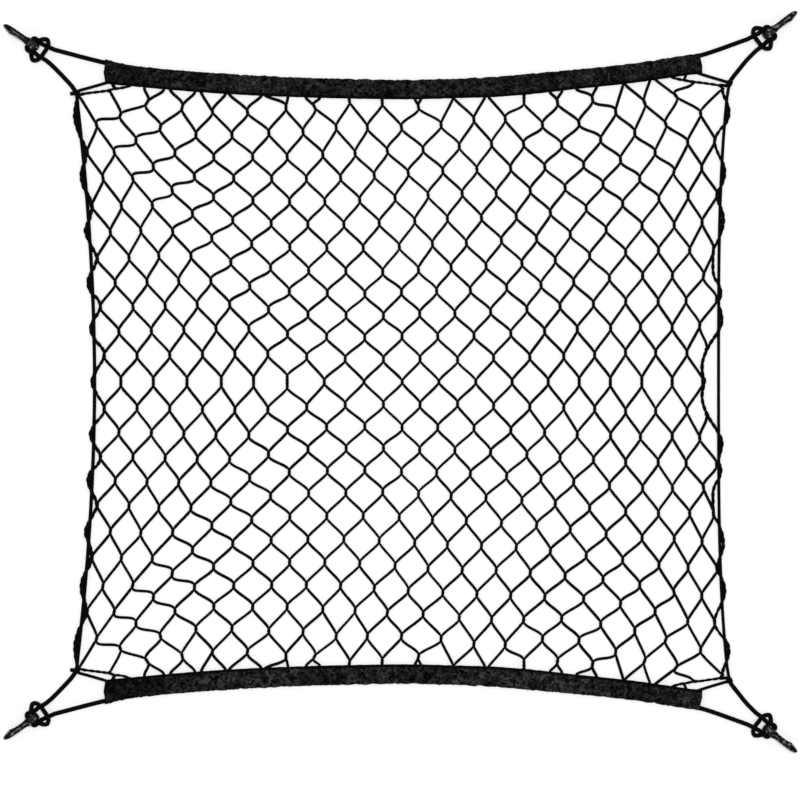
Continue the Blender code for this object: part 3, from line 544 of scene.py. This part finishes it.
class Builder:
    """Gathers closed skins, and makes one mesh of them, with a UV map in metres."""

    def __init__(self):
        self.points, self.faces, self.uvs = [], [], []

    def tube(self, route, radius, sides):
        """A round tube along a route. radius is one number or a list with one for each point."""
        radii = radius if isinstance(radius, list) else [radius] * len(route)
        tangents = directions(route)
        side = tangents[0].cross(UPWARDS)
        angles = [2 * math.pi * k / sides for k in range(sides)]
        rings = []
        for place, tangent, reach in zip(route, tangents, radii):
            side = (side - tangent * side.dot(tangent)).normalized()
            lift = tangent.cross(side)
            rings.append([place + (side * math.cos(angle) + lift * math.sin(angle)) * reach
                          for angle in angles])
        self.skin(rings)

    def skin(self, rings, flip=False, seam=0, across=0.0):
        """A skin over rings of points in millimetres. It has flat ends unless the last ring is the first.
        The UV map runs round each ring from its seam, a point where it holds the value across."""
        size, start = len(rings[0]), len(self.points)
        closed = rings[-1] is rings[0]
        used = rings[:-1] if closed else rings
        for ring in used:
            self.points.extend(world(*point) for point in ring)
        along = 0.0
        for i, (ring, after) in enumerate(zip(rings, rings[1:])):
            low, high = start + i * size, start + (i + 1) % len(used) * size
            step = math.dist(ring[0], after[0])
            around = across - sum(math.dist(*pair) for pair in zip(ring[:seam], ring[1:seam + 1]))
            for k in range(size):
                j = (k + 1) % size
                beyond = around + math.dist(ring[k], ring[j])
                self.face([(low + k, around, along), (low + j, beyond, along),
                           (high + j, beyond, along + step), (high + k, around, along + step)], flip)
                around = beyond
            along += step
        if not closed:
            last = start + (len(used) - 1) * size
            self.face([(start + k, 0.0, 0.0) for k in range(size)], not flip)
            self.face([(last + k, 0.0, 0.0) for k in range(size)], flip)

    def face(self, corners, flip):
        """A face of corners: each one's point, and its place on the UV map in millimetres."""
        corners = corners[::-1] if flip else corners
        self.faces.append([point for point, _, _ in corners])
        self.uvs.extend((u * MM, v * MM) for _, u, v in corners)

    def make(self, name, surface, body_slot, *nodes):
        """The object, riding on the body and standing for its nodes."""
        mesh = bpy.data.meshes.new(name)
        mesh.from_pydata(self.points, [], self.faces)
        layer = mesh.uv_layers.new(name="UVMap")
        layer.data.foreach_set("uv", [value for uv in self.uvs for value in uv])
        mesh.polygons.foreach_set("use_smooth", [True] * len(mesh.polygons))
        mesh.update()
        made = bpy.data.objects.new(name, mesh)
        bpy.context.scene.collection.objects.link(made)
        made.data.materials.append(surface)
        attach(made, "root")
        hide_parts(*nodes)
        return made


def smooth_route(controls, spacing):
    """Points about a spacing apart, read from a smooth curve through the control points."""
    points = [Vector(control) for control in controls]
    padded = [points[0] * 2 - points[1]] + points + [points[-1] * 2 - points[-2]]
    route = [points[0]]
    for p0, p1, p2, p3 in zip(padded, padded[1:], padded[2:], padded[3:]):
        length = (p2 - p1).length
        start = (p2 - p0) * length / ((p1 - p0).length + length)
        end = (p3 - p1) * length / ((p3 - p2).length + length)
        steps = max(1, round(length / spacing))
        for i in range(1, steps + 1):
            t = i / steps
            route.append(p1 * (2 * t**3 - 3 * t**2 + 1) + start * (t**3 - 2 * t**2 + t)
                         + p2 * (3 * t**2 - 2 * t**3) + end * (t**3 - t**2))
    return route


# ---- the mesh ------------------------------------------------------------------------------------------
def height_at(x, y):
    """Middle of a strand: it rises where it goes between the sleeve's layers."""
    edge = sleeve_middle(x) - sleeve_half(x)
    return STRAND_HEIGHT + LIFT * smooth((abs(y) - edge + LIFT_BEFORE) / LIFT_OVER)


class Strand:
    """One strand of the mesh, from joint to joint downwards."""

    def __init__(self, leaning):
        self.leaning = leaning            # 1 where it goes down to the right, -1 to the left
        self.route, self.radii = [], []
        self.end = self.end_axis = None

    def add(self, place, z, radius):
        z += uneven(place, *WANDER, self.leaning * WANDER_SEED)
        self.route.append(Vector((place.x, place.y, z)))
        thicker = OUTER_THICKER * smooth((abs(place.x) - THICKER_FROM) / THICKER_OVER)
        self.radii.append(radius * (1 + uneven(place, *UNEVEN_RADIUS) + thicker))

    def between_layers(self, x, *places):
        """The stretch between the sleeve's layers, through these places along y."""
        for y in places:
            self.add(Vector((x, y)), height_at(x, y), BAR_RADIUS)

    def to(self, place, axis):
        """The bar from the last joint's bottom to this place, which it meets along the axis."""
        chord = place - self.end
        slack = min(1.0, max(0.0, (BAR_LENGTH - 2 * JOINT_HALF - chord.length) / SLACK_SCALE))
        straight = chord.normalized()
        handles = []
        for along in (self.end_axis, axis):
            turned = 1 - abs(straight.dot(along))
            curl = min(CURL_MOST, CURL[0] + CURL[1] * slack + CURL[2] * turned**2)
            reach = chord.length * (HANDLE[0] - HANDLE[1] * slack - HANDLE[2] * turned)
            handles.append((straight * (1 - curl) - along * curl).normalized() * reach)
        p0, p1, p2, p3 = self.end, self.end + handles[0], place - handles[1], place
        for i in range(1, BAR_STEPS):
            t = i / BAR_STEPS
            point = (p0 * (1 - t)**3 + p1 * (3 * t * (1 - t)**2) + p2 * (3 * t**2 * (1 - t))
                     + p3 * t**3)
            self.add(point, height_at(point.x, point.y), BAR_RADIUS)

    def through(self, joint):
        """A joint, from its top to its bottom, as a helix."""
        steps = round(JOINT_STEPS * joint.turns / TURNS)
        for i in range(steps + 1):
            t = i / steps
            angle = math.pi * (2 * joint.turns * t + (1 if self.leaning > 0 else 0))
            middle = joint.top.lerp(joint.bottom, t) + joint.across * math.cos(angle) * JOINT_TWIST_RADIUS
            if i == 0 and self.end is not None:
                self.to(middle, joint.axis)
            z = height_at(middle.x, middle.y) + JOINT_TWIST_RADIUS * (1 + math.sin(angle))
            self.add(middle, z, JOINT_STRAND_RADIUS)
        self.end, self.end_axis = middle, joint.axis

    def finish(self, builder):
        """Ends the tube here, and leaves it out if it is a joint alone. What follows begins a new one."""
        if len(self.route) > JOINT_STEPS * 2:
            builder.tube(self.route, self.radii, STRAND_SIDES)
        self.route, self.radii, self.end = [], [], None


def add_mesh(builder):
    joints = make_joints()
    entries = {column: (Vector(sizes[4:6]), Vector(sizes[6:])) for column, *sizes in SLEEVE_KNOTS}
    left_out = set()
    for high, low in EDGE_BARS:
        left_out.update(((high, low), ((low[0], -low[1]), (high[0], -high[1]))))
    for leaning in (1, -1):
        for at in sorted(joints):
            if (at[0] - leaning, at[1] + 1) in joints:
                continue
            strand = Strand(leaning)
            if at[1] == TOP_ROW and at[0] in entries:
                entry = entries[at[0]][0 if leaning > 0 else 1]
                strand.between_layers(entry.x, entry.y + INTO_SLEEVE, entry.y)
                strand.end, strand.end_axis = entry, Vector((0, 1))
            while at in joints:
                strand.through(joints[at])
                last, at = at, (at[0] + leaning, at[1] - 1)
                if (last, at) in left_out:
                    strand.finish(builder)
            if last[1] == -TOP_ROW and last[0] in entries:
                entry = entries[last[0]][1 if leaning > 0 else 0] * MIRROR
                strand.to(entry, Vector((0, 1)))
                strand.between_layers(entry.x, entry.y, entry.y - INTO_SLEEVE)
            strand.finish(builder)


def side_cord_z(side, y):
    """Height of the side cord's middle: it rises over the edge strand where that passes under it."""
    return SIDE_RADIUS[side] + sum(CROSSING_RISE * math.exp(-((abs(y) - at) / CROSSING_LENGTH) ** 2)
                                   for _, at, _, *layer in SELVEDGE[side] if layer == [-1])


def add_selvedge(builder, side):
    """The doubled strand along an edge: two strands twisted loosely round each other."""
    half = []
    for x, y, radius, *layer in SELVEDGE[side]:
        z = radius * EDGE_LIE
        if layer == [1]:
            z = side_cord_z(side, y) + SIDE_RADIUS[side] + radius
        elif y > EDGE_TOP and abs(x) < EDGE_END:
            z = height_at(x, y)
        half.append((x, y, z, radius))
    whole = half + [(x, -y, z, radius) for x, y, z, radius in half[-2::-1]]
    table, done = [], 0.0
    for before, (*place, radius) in zip(whole[:1] + whole, whole):
        done += math.dist(before[:3], place)
        table.append((done, radius))
    route = smooth_route([place for *place, _ in whole], EDGE_SPACING)
    done, paths, widths = 0.0, ([], []), []
    for before, point, along in zip(route[:1] + route, route, directions(route)):
        done += (point - before).length
        radius = read_table(table, done, 1) * (1 + drift(done, *EDGE_UNEVEN, lane=side))
        across = Vector((along.y, -along.x, 0.0)).normalized()
        for path, start in zip(paths, (0.0, math.pi)):
            angle = start + 2 * math.pi * done / TWIST_PITCH
            place = point + (across * math.cos(angle) + UPWARDS * math.sin(angle)) * radius * EDGE_TWIST
            place.z = max(place.z, radius * EDGE_LOWEST)
            path.append(place)
        widths.append(radius * EDGE_STRAND)
    for path in paths:
        builder.tube(path, widths, STRAND_SIDES)


def build_mesh(surface):
    builder = Builder()
    add_mesh(builder)
    for side in (-1, 1):
        add_selvedge(builder, side)
    for x0, y0, x1, y1, radius in SHORT_STRANDS:
        for up in (-1, 1):
            line = [Vector((x0, up * y0, height_at(x0, y0))), Vector((x1, up * y1, STRAND_HEIGHT + radius))]
            builder.tube(smooth_route(line, SHORT_SPACING), radius, SHORT_SIDES)
    for up in (-1, 1):
        stations = [mix(-BAND_HALF_LENGTH, BAND_HALF_LENGTH, i / BAND_STEPS) for i in range(BAND_STEPS + 1)]
        line = [Vector((x, up * (sleeve_middle(x) - BAND_BELOW_MIDDLE), BAND_HEIGHT)) for x in stations]
        builder.tube(line, BAND_RADIUS, STRAND_SIDES)
    made = builder.make("mesh_strands", surface, "twine", "net")
    return made


# ---- sleeves -------------------------------------------------------------------------------------------
def section_points(width):
    """Outer side of the sleeve's section: distance from the fold's outer side, height, and the inward
    direction, from the lower open edge round the fold to the upper one."""
    points = [(mix(width, FOLD_RADIUS, i / BOTTOM_STEPS), 0.0, 0.0, 1.0) for i in range(BOTTOM_STEPS)]
    for step in range(FOLD_TURN_STEPS + 1):
        angle = math.radians(270 - 180 * step / FOLD_TURN_STEPS)
        turn_out, turn_up = math.cos(angle), math.sin(angle)
        points.append((FOLD_RADIUS + FOLD_RADIUS * turn_out, FOLD_RADIUS + FOLD_RADIUS * turn_up,
                       -turn_out, -turn_up))
    fold_top, lip_out = 2 * FOLD_RADIUS, width - TOP_SHORTER
    slope_out, slope_top = mix(FOLD_RADIUS, width, SLOPE_OUT), mix(fold_top, LIP_TOP, SLOPE_DOWN)
    for t in [(i + 1) / SLOPE_STEPS for i in range(SLOPE_STEPS)]:
        points.append((mix(FOLD_RADIUS, slope_out, t), mix(fold_top, slope_top, smooth(t)), 0.0, -1.0))
    for t in [(i + 1) / TOP_STEPS for i in range(TOP_STEPS)]:
        points.append((mix(slope_out, lip_out, t), mix(slope_top, LIP_TOP, t), 0.0, -1.0))
    return points


def uneven_end(x, out):
    """How far a point near one of the sleeve's ends is shifted along x."""
    near_left = math.exp((SLEEVE_ENDS[0] - x) / SLEEVE_END_REACH)
    near_right = math.exp((x - SLEEVE_ENDS[1]) / SLEEVE_END_REACH)
    left = LEFT_SHIFT + LEFT_BULGE * math.exp(-((out - BULGE_PLACE) / BULGE_HALF) ** 2)
    right = RIGHT_SHIFT + RIGHT_SLANT * smooth((out - SLANT_FROM) / SLANT_OVER)
    return left * near_left + right * near_right


def sleeve_ring(x, up):
    """Points round the sleeve's cloth: along its outer side to the upper open edge, and back inside."""
    lower_wider, fold_wider = (read_table(SLEEVE_WIDER, x, column) for column in (1, 2))
    ragged = sum(drift(x, *sizes) for sizes in FOLD_DRIFTS)
    width = 2 * sleeve_half(x) + lower_wider + drift(x, *HEM_DRIFT)
    edge_y = sleeve_middle(x) + sleeve_half(x)
    outer, inner = [], []
    for out, height, in_out, in_height in section_points(width):
        bump = smooth(height / BUMPS_BEGIN) * sum(
            size * noise.noise(Vector((x * along, out * across, height * upwards + seed)))
            for size, along, across, upwards, seed in BUMPS)
        spread = (fold_wider + ragged) * math.exp(-(out / FOLD_REACH) ** 2)
        place = x + uneven_end(x, out)
        outer.append((place, up * (edge_y - out + in_out * bump + spread), height - in_height * bump))
        inner.append((place, up * (edge_y - out - in_out * CLOTH + spread), height + in_height * CLOTH))
    return outer + inner[::-1]


def build_sleeve(name, up, surface, node):
    rings = [sleeve_ring(mix(*SLEEVE_ENDS, i / SLEEVE_STATIONS), up) for i in range(SLEEVE_STATIONS + 1)]
    builder = Builder()
    builder.skin(rings, flip=up < 0, seam=len(rings[0]) // 2 - 1)
    made = builder.make(name, surface, "sleeve_cloth", node)
    return made


# ---- cords and corner knots ----------------------------------------------------------------------------
class Corner:
    """One corner's own axes: outwards along the hook, and sideways towards the sleeve."""

    def __init__(self, side, up):
        (x, y), degrees, knot_place = CORNERS[side]
        angle = math.radians(degrees)
        self.up = up
        self.side = side
        self.middle = Vector((x, y, 0))
        self.outwards = Vector((math.cos(angle), math.sin(angle), 0))
        self.sideways = Vector((-math.sin(angle), math.cos(angle), 0)) * side
        self.knot = Vector((*knot_place, CORNER_KNOT / 2))

    def place(self, outwards, sideways, height):
        upper = self.middle + self.outwards * outwards + self.sideways * sideways
        return upper.x, self.up * upper.y, height

    def by_knot(self, towards):
        """The end of a cord that goes into the corner knot from a place in the upper half."""
        direction = (Vector(towards) - self.knot).normalized()
        end = self.knot + direction * INSIDE_KNOT
        return end.x, self.up * end.y, end.z


def border_route(up):
    """From one corner knot through its hook, the sleeve's fold and the other hook to the other knot."""
    ends = []
    for side in (-1, 1):
        corner = Corner(side, up)
        local = [corner.place(*point) for point in HITCH_IN + HITCH_OUT + LEG[side]]
        leg_x, leg_y, leg_z = local[-1]
        ends.append(smooth_route(local + [corner.by_knot((leg_x, up * leg_y, leg_z))], HITCH_SPACING))
    stations = [mix(*SLEEVE_ENDS, i / FOLD_STEPS) for i in range(FOLD_STEPS + 1)]
    fold = [(x, up * fold_y(x), FOLD_RADIUS) for x in stations]
    for end, rise in zip((0, -1), BORDER_END_RISE):
        x, y, z = fold[end]
        fold[end] = (x, y + up * rise, z)
    middle = smooth_route([ends[0][0]] + fold + [ends[1][0]], FOLD_SPACING)
    whole = ends[0][:0:-1] + middle + ends[1][1:]
    return [Vector((x, y, max(z, BORDER_RADIUS))) for x, y, z in whole]


def build_cord(name, surface, node, route, radius):
    builder = Builder()
    builder.tube(route, radius, CORD_SIDES)
    return builder.make(name, surface, "elastic_cord", node)


def build_cords(surface):
    for up, half_name in HALVES:
        build_cord("elastic_border_" + half_name, surface, "border_cord_" + half_name,
                   border_route(up), BORDER_RADIUS)
        for side, side_name in SIDES:
            places = INNER_ROUTE[side]
            controls = [(x, up * y, mix(CORNER_KNOT / 2, LIP_TOP / 2, i / (len(places) - 1)))
                        for i, (x, y) in enumerate(places)]
            name = f"{half_name}_{side_name}"
            build_cord("elastic_inner_" + name, surface, "inner_cord_" + name,
                       smooth_route(controls, CORD_SPACING), INNER_RADIUS)
    for side, side_name in SIDES:
        reach = CORNERS[side][2][1] - SIDE_CORD_RISE
        heights = [reach * i / SIDE_STEPS for i in range(-SIDE_STEPS, SIDE_STEPS + 1)]
        along = [Vector((side_cord_x(side, y, SIDE_SAG), y, side_cord_z(side, y))) for y in heights]
        bottom, top = (Corner(side, up).by_knot(along[-1]) for up in (-1, 1))
        start = smooth_route([bottom, along[0]], CORD_SPACING)
        finish = smooth_route([along[-1], top], CORD_SPACING)
        build_cord("elastic_side_" + side_name, surface, "side_cord_" + side_name,
                   start[:-1] + along + finish[1:], SIDE_RADIUS[side])


def build_corner_knot(name, corner, surface, node):
    """An overhand knot: a trefoil of cord with its short end."""
    side, up = corner.side, corner.up
    centre = corner.knot * Vector((1, up, 1))
    along_x, along_y, along_z = KNOT_SCALE
    trefoil = []
    for i in range(KNOT_STEPS + 1):
        t = 2 * math.pi * i / KNOT_STEPS
        trefoil.append(centre + Vector((side * along_x * (math.sin(t) + 2 * math.sin(2 * t)),
                                        up * along_y * (math.cos(t) - 2 * math.cos(2 * t)),
                                        -along_z * math.sin(3 * t))))
    nub = [centre + Vector((side * (x + share * NUB_LENGTH[side]), up * y, z))
           for x, share, y, z in NUB_ROUTE]
    builder = Builder()
    builder.tube(trefoil, KNOT_CORD, KNOT_SIDES)
    builder.tube(smooth_route(nub, NUB_SPACING), NUB_CORD, KNOT_SIDES)
    return builder.make(name, surface, "elastic_cord", node)


# ---- hooks ---------------------------------------------------------------------------------------------
def superellipse(power, count):
    """Points of a squarish ring of radius 1. With the power 2 it is a circle."""
    for k in range(count):
        angle = 2 * math.pi * k / count
        yield [math.copysign(abs(turn) ** (2 / power), turn) for turn in (math.cos(angle), math.sin(angle))]


def rounded_ring(centre, half):
    """Points of a rounded rectangle in the hook's own plane: outwards, height."""
    return [Vector((centre[0] + half[0] * out, centre[1] + half[1] * up))
            for out, up in superellipse(SQUARENESS, RING_POINTS)]


def hook_stations():
    """The shank, the bend and the point: outwards, height, half thickness, half width, sideways."""
    bend = []
    for t in [step / BEND_STEPS for step in range(BEND_STEPS + 1)]:
        angle = math.pi * (0.5 - t)
        bend.append((BEND_CENTRE[0] + BEND_RADIUS * math.cos(angle),
                     BEND_CENTRE[1] + BEND_RADIUS * math.sin(angle),
                     *(mix(a, b, smooth(t)) for a, b in zip(BEND_START, BEND_END))))
    return SHANK + tuple(bend) + POINT


def moulded_section(thickness, width, power, groove=0.0, ridge=0.0):
    """Points round a moulded bar: sideways, and away from its middle line. A groove runs along both
    flanks and a ridge along the outer side."""
    points = []
    for sideways, away in superellipse(power, SECTION_POINTS):
        sunk = groove * math.exp(-(away / GROOVE_HALF) ** 2) * abs(sideways) ** GROOVE_EDGE
        raised = ridge * math.exp(-(sideways / RIDGE_HALF) ** 2) if away > 0 else 0.0
        points.append((sideways * (width - sunk), away * thickness + raised))
    return points


def add_head(builder, corner):
    """The hook's head: a bar bent round its slotted eye."""
    rings = []
    for inner, outer in zip(rounded_ring(EYE_CENTRE, EYE_HALF), rounded_ring(BOSS_CENTRE, BOSS_HALF)):
        middle, across = (inner + outer) / 2, outer - inner
        width = BOSS_HALF_WIDTH * (1 - BOSS_TAPER * smooth((BOSS_CENTRE[0] - middle.x) / BOSS_HALF[0]))
        section = moulded_section(across.length / 2, width, BOSS_POWER)
        across.normalize()
        rings.append([corner.place(middle.x + across.x * away, sideways, middle.y + across.y * away)
                      for sideways, away in section])
    flip = corner.side * corner.up > 0
    builder.skin(rings + rings[:1], flip=flip, seam=SECTION_POINTS // 4, across=OFF_LINE)


def build_hook(name, corner, surface, node):
    """A moulded hook standing on edge: a slotted head, a shank with a ridge, a bend and a point."""
    builder = Builder()
    add_head(builder, corner)
    stations = hook_stations()
    ways = directions([Vector(station[:2]) for station in stations])
    rings = []
    for i, ((outwards, height, half, width, shift), along) in enumerate(zip(stations, ways)):
        nearer_point = i / (len(stations) - 1)
        nose = smooth((outwards - BEND_CENTRE[0]) / BEND_RADIUS)
        if height < BEND_CENTRE[1]:
            nose *= nose
        section = moulded_section(half, width * mix(1, NOSE_WIDTH, nose), mix(BAR_POWER, NOSE_POWER, nose),
                                  groove=GROOVE * (1 - nearer_point),
                                  ridge=RIDGE * smooth((RIDGE_END - nearer_point) * RIDGE_FADE))
        outwards += NOSE_REACH * nose
        shift += NOSE_SHIFT * nose
        rings.append([corner.place(outwards - along.y * away, shift + sideways, height + along.x * away)
                      for sideways, away in section])
    outwards, height, half, width, shift = stations[-1]
    for forward, keep in TIP:
        # The point runs back under the shank, so its sections are the other way up
        section = moulded_section(half * keep, width * keep, TIP_POWER)
        middle = height + TIP_SLOPE * forward
        rings.append([corner.place(outwards - forward, shift + sideways, middle - away)
                      for sideways, away in section])
    builder.skin(rings, flip=corner.side * corner.up < 0, seam=SECTION_POINTS // 4)
    return builder.make(name, surface, "hook_plastic", node)


# ---- materials -----------------------------------------------------------------------------------------
class Surface:
    """A material being made, with short ways to add nodes. An output is a node and the output's name."""

    def __init__(self, name, colour, roughness, specular):
        self.material = bpy.data.materials.new(name)
        self.material.use_nodes = True
        self.tree = self.material.node_tree
        self.shader = self.tree.nodes["Principled BSDF"]
        self.shader.inputs["Base Color"].default_value = (*colour, 1)
        self.shader.inputs["Roughness"].default_value = roughness
        self.shader.inputs["Specular IOR Level"].default_value = specular

    def node(self, kind, links=(), modes=(), **inputs):
        """A node with outputs linked to its inputs, its modes and its inputs' values."""
        made = self.tree.nodes.new(kind)
        for mode, value in modes:
            setattr(made, mode, value)
        for entry, value in inputs.items():
            made.inputs[entry.replace("_", " ")].default_value = value
        for entry, output in links:
            self.link(output, made, entry)
        return made

    def link(self, output, target, entry):
        source, name = output
        self.tree.links.new(source.outputs[name], target.inputs[entry])

    def grain(self, **inputs):
        """Noise in the object's own coordinates."""
        place = self.node("ShaderNodeTexCoord"), "Object"
        return self.node("ShaderNodeTexNoise", [("Vector", place)], **inputs), "Fac"

    def ramp(self, output, *stops):
        """A ramp of greys. A stop is a place, a level and, where it isn't neutral, its blue."""
        made = self.node("ShaderNodeValToRGB", [("Fac", output)])
        elements = made.color_ramp.elements
        while len(elements) < len(stops):
            elements.new(0.5)
        for element, (place, level, *blue) in zip(elements, stops):
            element.position = place
            element.color = (level, level, *(blue or [level]), 1)
        return made, "Color"

    def stretch(self, output, low, high, start=0.0, end=1.0):
        """Goes from start to end while the output goes from low to high."""
        return self.node("ShaderNodeMapRange", [("Value", output)], From_Min=low, From_Max=high,
                         To_Min=start, To_Max=end), "Result"

    def maths(self, operation, *outputs):
        return self.node("ShaderNodeMath", enumerate(outputs), [("operation", operation)]), "Value"

    def blend(self, kind, first, second, factor=None):
        """Two colours mixed. Without a factor the second has its full effect."""
        made = self.node("ShaderNodeMix", (), [("data_type", "RGBA"), ("blend_type", kind)], Factor=1.0)
        self.link(first, made, "A")
        self.link(second, made, "B")
        if factor is not None:
            self.link(factor, made, "Factor")
        return made, "Result"

    def bump(self, output, distance, strength, under=None):
        made = self.node("ShaderNodeBump", [("Height", output)], Distance=distance, Strength=strength)
        if under is not None:
            self.link((under, "Normal"), made, "Normal")
        self.link((made, "Normal"), self.shader, "Normal")
        return made

    def bands(self, width, angle):
        """Bands that run round a strand at an angle, from its UV map."""
        uv = self.node("ShaderNodeUVMap"), "UV"
        turn = self.node("ShaderNodeMapping", [("Vector", uv)], Rotation=(0, 0, math.radians(angle)))
        return self.node("ShaderNodeTexWave", [("Vector", (turn, "Vector"))], [("wave_profile", "SIN")],
                         Scale=math.pi / (10 * width)), "Fac"

    def part(self, kind, output, axis):
        """One of the three coordinates of a UV map or of the object's own coordinates."""
        whole = self.node(kind), output
        return self.node("ShaderNodeSeparateXYZ", [("Vector", whole)]), axis

    def grey(self, level):
        made = self.node("ShaderNodeRGB")
        made.outputs["Color"].default_value = (level, level, level, 1)
        return made, "Color"


def twine_surface():
    made = Surface("twisted twine", (0.002, 0.002, 0.002), 0.9, 0.04)
    fuzz = made.grain(Scale=900.0, Detail=4.0)
    made.link(made.ramp(fuzz, (0.35, 0.0006), (0.7, 0.005, 0.0052)), made.shader, "Base Color")
    twist = made.bump(made.bands(0.0011, 55), 0.00025, 0.7)
    made.bump(fuzz, 0.0001, 0.5, under=twist)
    return made.material


def cord_surface():
    made = Surface("braided elastic cord", (0.002, 0.002, 0.002), 0.8, 0.05)
    weave = made.maths("MULTIPLY", made.bands(0.0009, 40), made.bands(0.0009, -40))
    made.link(made.ramp(weave, (0.0, 0.0004), (0.7, 0.0035, 0.0037)), made.shader, "Base Color")
    made.bump(weave, 0.0002, 0.8)
    return made.material


def sleeve_surface():
    """Brushed cloth: worm-like pile, lighter and darker stretches, and a painted shade strip along the
    lower edge.
    """
    made = Surface("brushed sleeve cloth", (0.012, 0.012, 0.013), 0.95, 0.03)
    pile = made.grain(Scale=185.0, Detail=2.5, Distortion=1.4)
    tint = made.ramp(pile, (0.36, 0.0005), (0.47, 0.007, 0.0075), (0.56, 0.018, 0.0185),
                     (0.66, 0.042, 0.043))
    level = made.ramp(made.grain(Scale=26.0, Detail=1.0), (0.36, 0.58), (0.62, 1.1))
    end = made.stretch(made.part("ShaderNodeTexCoord", "Object", "X"), *DARK_END)
    lit = made.node("ShaderNodeVectorMath", [("Vector", level), ("Scale", end)], [("operation", "SCALE")])
    shade = made.blend("MULTIPLY", tint, (lit, "Vector"))
    # A darker strip along the lower edge is painted shade: the lower layer in shadow under the upper lip.
    painted_edge_shade = made.stretch(made.part("ShaderNodeUVMap", "UV", "X"), -(LOWER_EDGE + EDGE_BLUR) * MM,
                         -(LOWER_EDGE - EDGE_BLUR) * MM, 0.0, 0.85)
    made.link(made.blend("MIX", shade, made.grey(0.0008), painted_edge_shade), made.shader, "Base Color")
    fibres = made.grain(Scale=1500.0, Detail=3.0)
    made.bump(fibres, 0.0001, 0.3, under=made.bump(pile, 0.0005, 0.4))
    return made.material


def plastic_surface():
    """Black plastic with pale patches, partly scuffs and partly painted highlights, a painted highlight
    line along the ridge on its outer side, and a painted highlight on the bend.
    """
    made = Surface("moulded black plastic", (0.003, 0.003, 0.003), 0.45, 0.05)
    # Pale patches at random: partly scuffs, partly painted highlights where the glossy boss and bar catch
    # the light.
    scuffs_and_highlights = made.ramp(made.grain(Scale=270.0, Detail=2.0), (0.52, 0.002), (0.58, 0.015), (0.66, 0.16))
    # A painted highlight line along the crest of the ridge on the shank's outer side, fading out before the
    # bend.
    off_line = made.maths("ABSOLUTE", made.part("ShaderNodeUVMap", "UV", "X"))
    along = made.part("ShaderNodeUVMap", "UV", "Y")
    line = made.maths("MULTIPLY", made.stretch(off_line, LINE_BLUR * MM, LINE_HALF * MM),
                      made.stretch(along, LINE_END * MM, (LINE_END - LINE_FADE) * MM))
    highlight_line_tone = made.ramp(made.grain(Scale=110.0, Detail=1.0), (0.38, 0.015), (0.5, 0.13))
    # A painted highlight on the bend, pale between these two places along the hook.
    bend_highlight = made.ramp(made.stretch(along, BEND_HIGHLIGHT[0] * MM, BEND_HIGHLIGHT[1] * MM),
                       (0.0, 0.0), (0.3, 0.35), (0.8, 0.35), (1.0, 0.0))
    lined = made.blend("LIGHTEN", scuffs_and_highlights, highlight_line_tone, line)
    made.link(made.blend("LIGHTEN", lined, bend_highlight), made.shader, "Base Color")
    fine = made.grain(Scale=1800.0, Detail=2.0)
    made.link(made.ramp(fine, (0.3, 0.35), (0.7, 0.55)), made.shader, "Roughness")
    made.bump(fine, 0.00005, 0.4)
    return made.material


# ---- floor, light and camera ---------------------------------------------------------------------------
def build_stage():
    half = FLOOR_SIZE / 2
    mesh = bpy.data.meshes.new("floor")
    mesh.from_pydata([(x, y, FLOOR_HEIGHT) for x, y in ((-half, -half), (half, -half), (half, half),
                                                        (-half, half))], [], [(0, 1, 2, 3)])
    mesh.materials.append(Surface("pale floor", (0.92, 0.92, 0.92), 0.9, 0.1).material)
    floor = bpy.data.objects.new("floor", mesh)

    sky = bpy.data.worlds.new("studio")
    sky.use_nodes = True
    background = sky.node_tree.nodes["Background"]
    background.inputs["Color"].default_value = (1, 1, 1, 1)
    background.inputs["Strength"].default_value = SKY_STRENGTH
    bpy.context.scene.world = sky

    lamp = bpy.data.lights.new("overhead softbox", "SUN")
    lamp.angle = math.radians(LAMP_ANGLE)
    lamp.energy = LAMP_STRENGTH
    softbox = bpy.data.objects.new("overhead softbox", lamp)
    softbox.location = LAMP_PLACE
    softbox.rotation_euler = Vector(LAMP_PLACE).to_track_quat("Z", "Y").to_euler()

    data = bpy.data.cameras.new("camera")
    data.sensor_width = SENSOR_WIDTH
    data.lens = SENSOR_WIDTH * CAMERA_HEIGHT / PICTURE_WIDTH
    data.clip_end = VIEW_END
    camera = bpy.data.objects.new("camera", data)
    camera.location = (*PICTURE_CENTRE, CAMERA_HEIGHT)
    for made in (floor, softbox, camera):
        bpy.context.scene.collection.objects.link(made)
    bpy.context.scene.camera = camera
    bpy.context.scene.view_settings.view_transform = "Standard"


def build():
    build_stage()
    build_mesh(twine_surface())
    cloth, elastic, plastic = sleeve_surface(), cord_surface(), plastic_surface()
    for up, half_name in HALVES:
        build_sleeve("cloth_sleeve_" + half_name, up, cloth, "sleeve_" + half_name)
    build_cords(elastic)
    corners = [(Corner(side, up), f"{half_name}_{side_name}")
               for up, half_name in HALVES for side, side_name in SIDES]
    for corner, name in corners:
        build_corner_knot("tied_knot_" + name, corner, elastic, "corner_knot_" + name)
    for corner, name in corners:
        build_hook("moulded_hook_" + name, corner, plastic, "hook_" + name)


build()
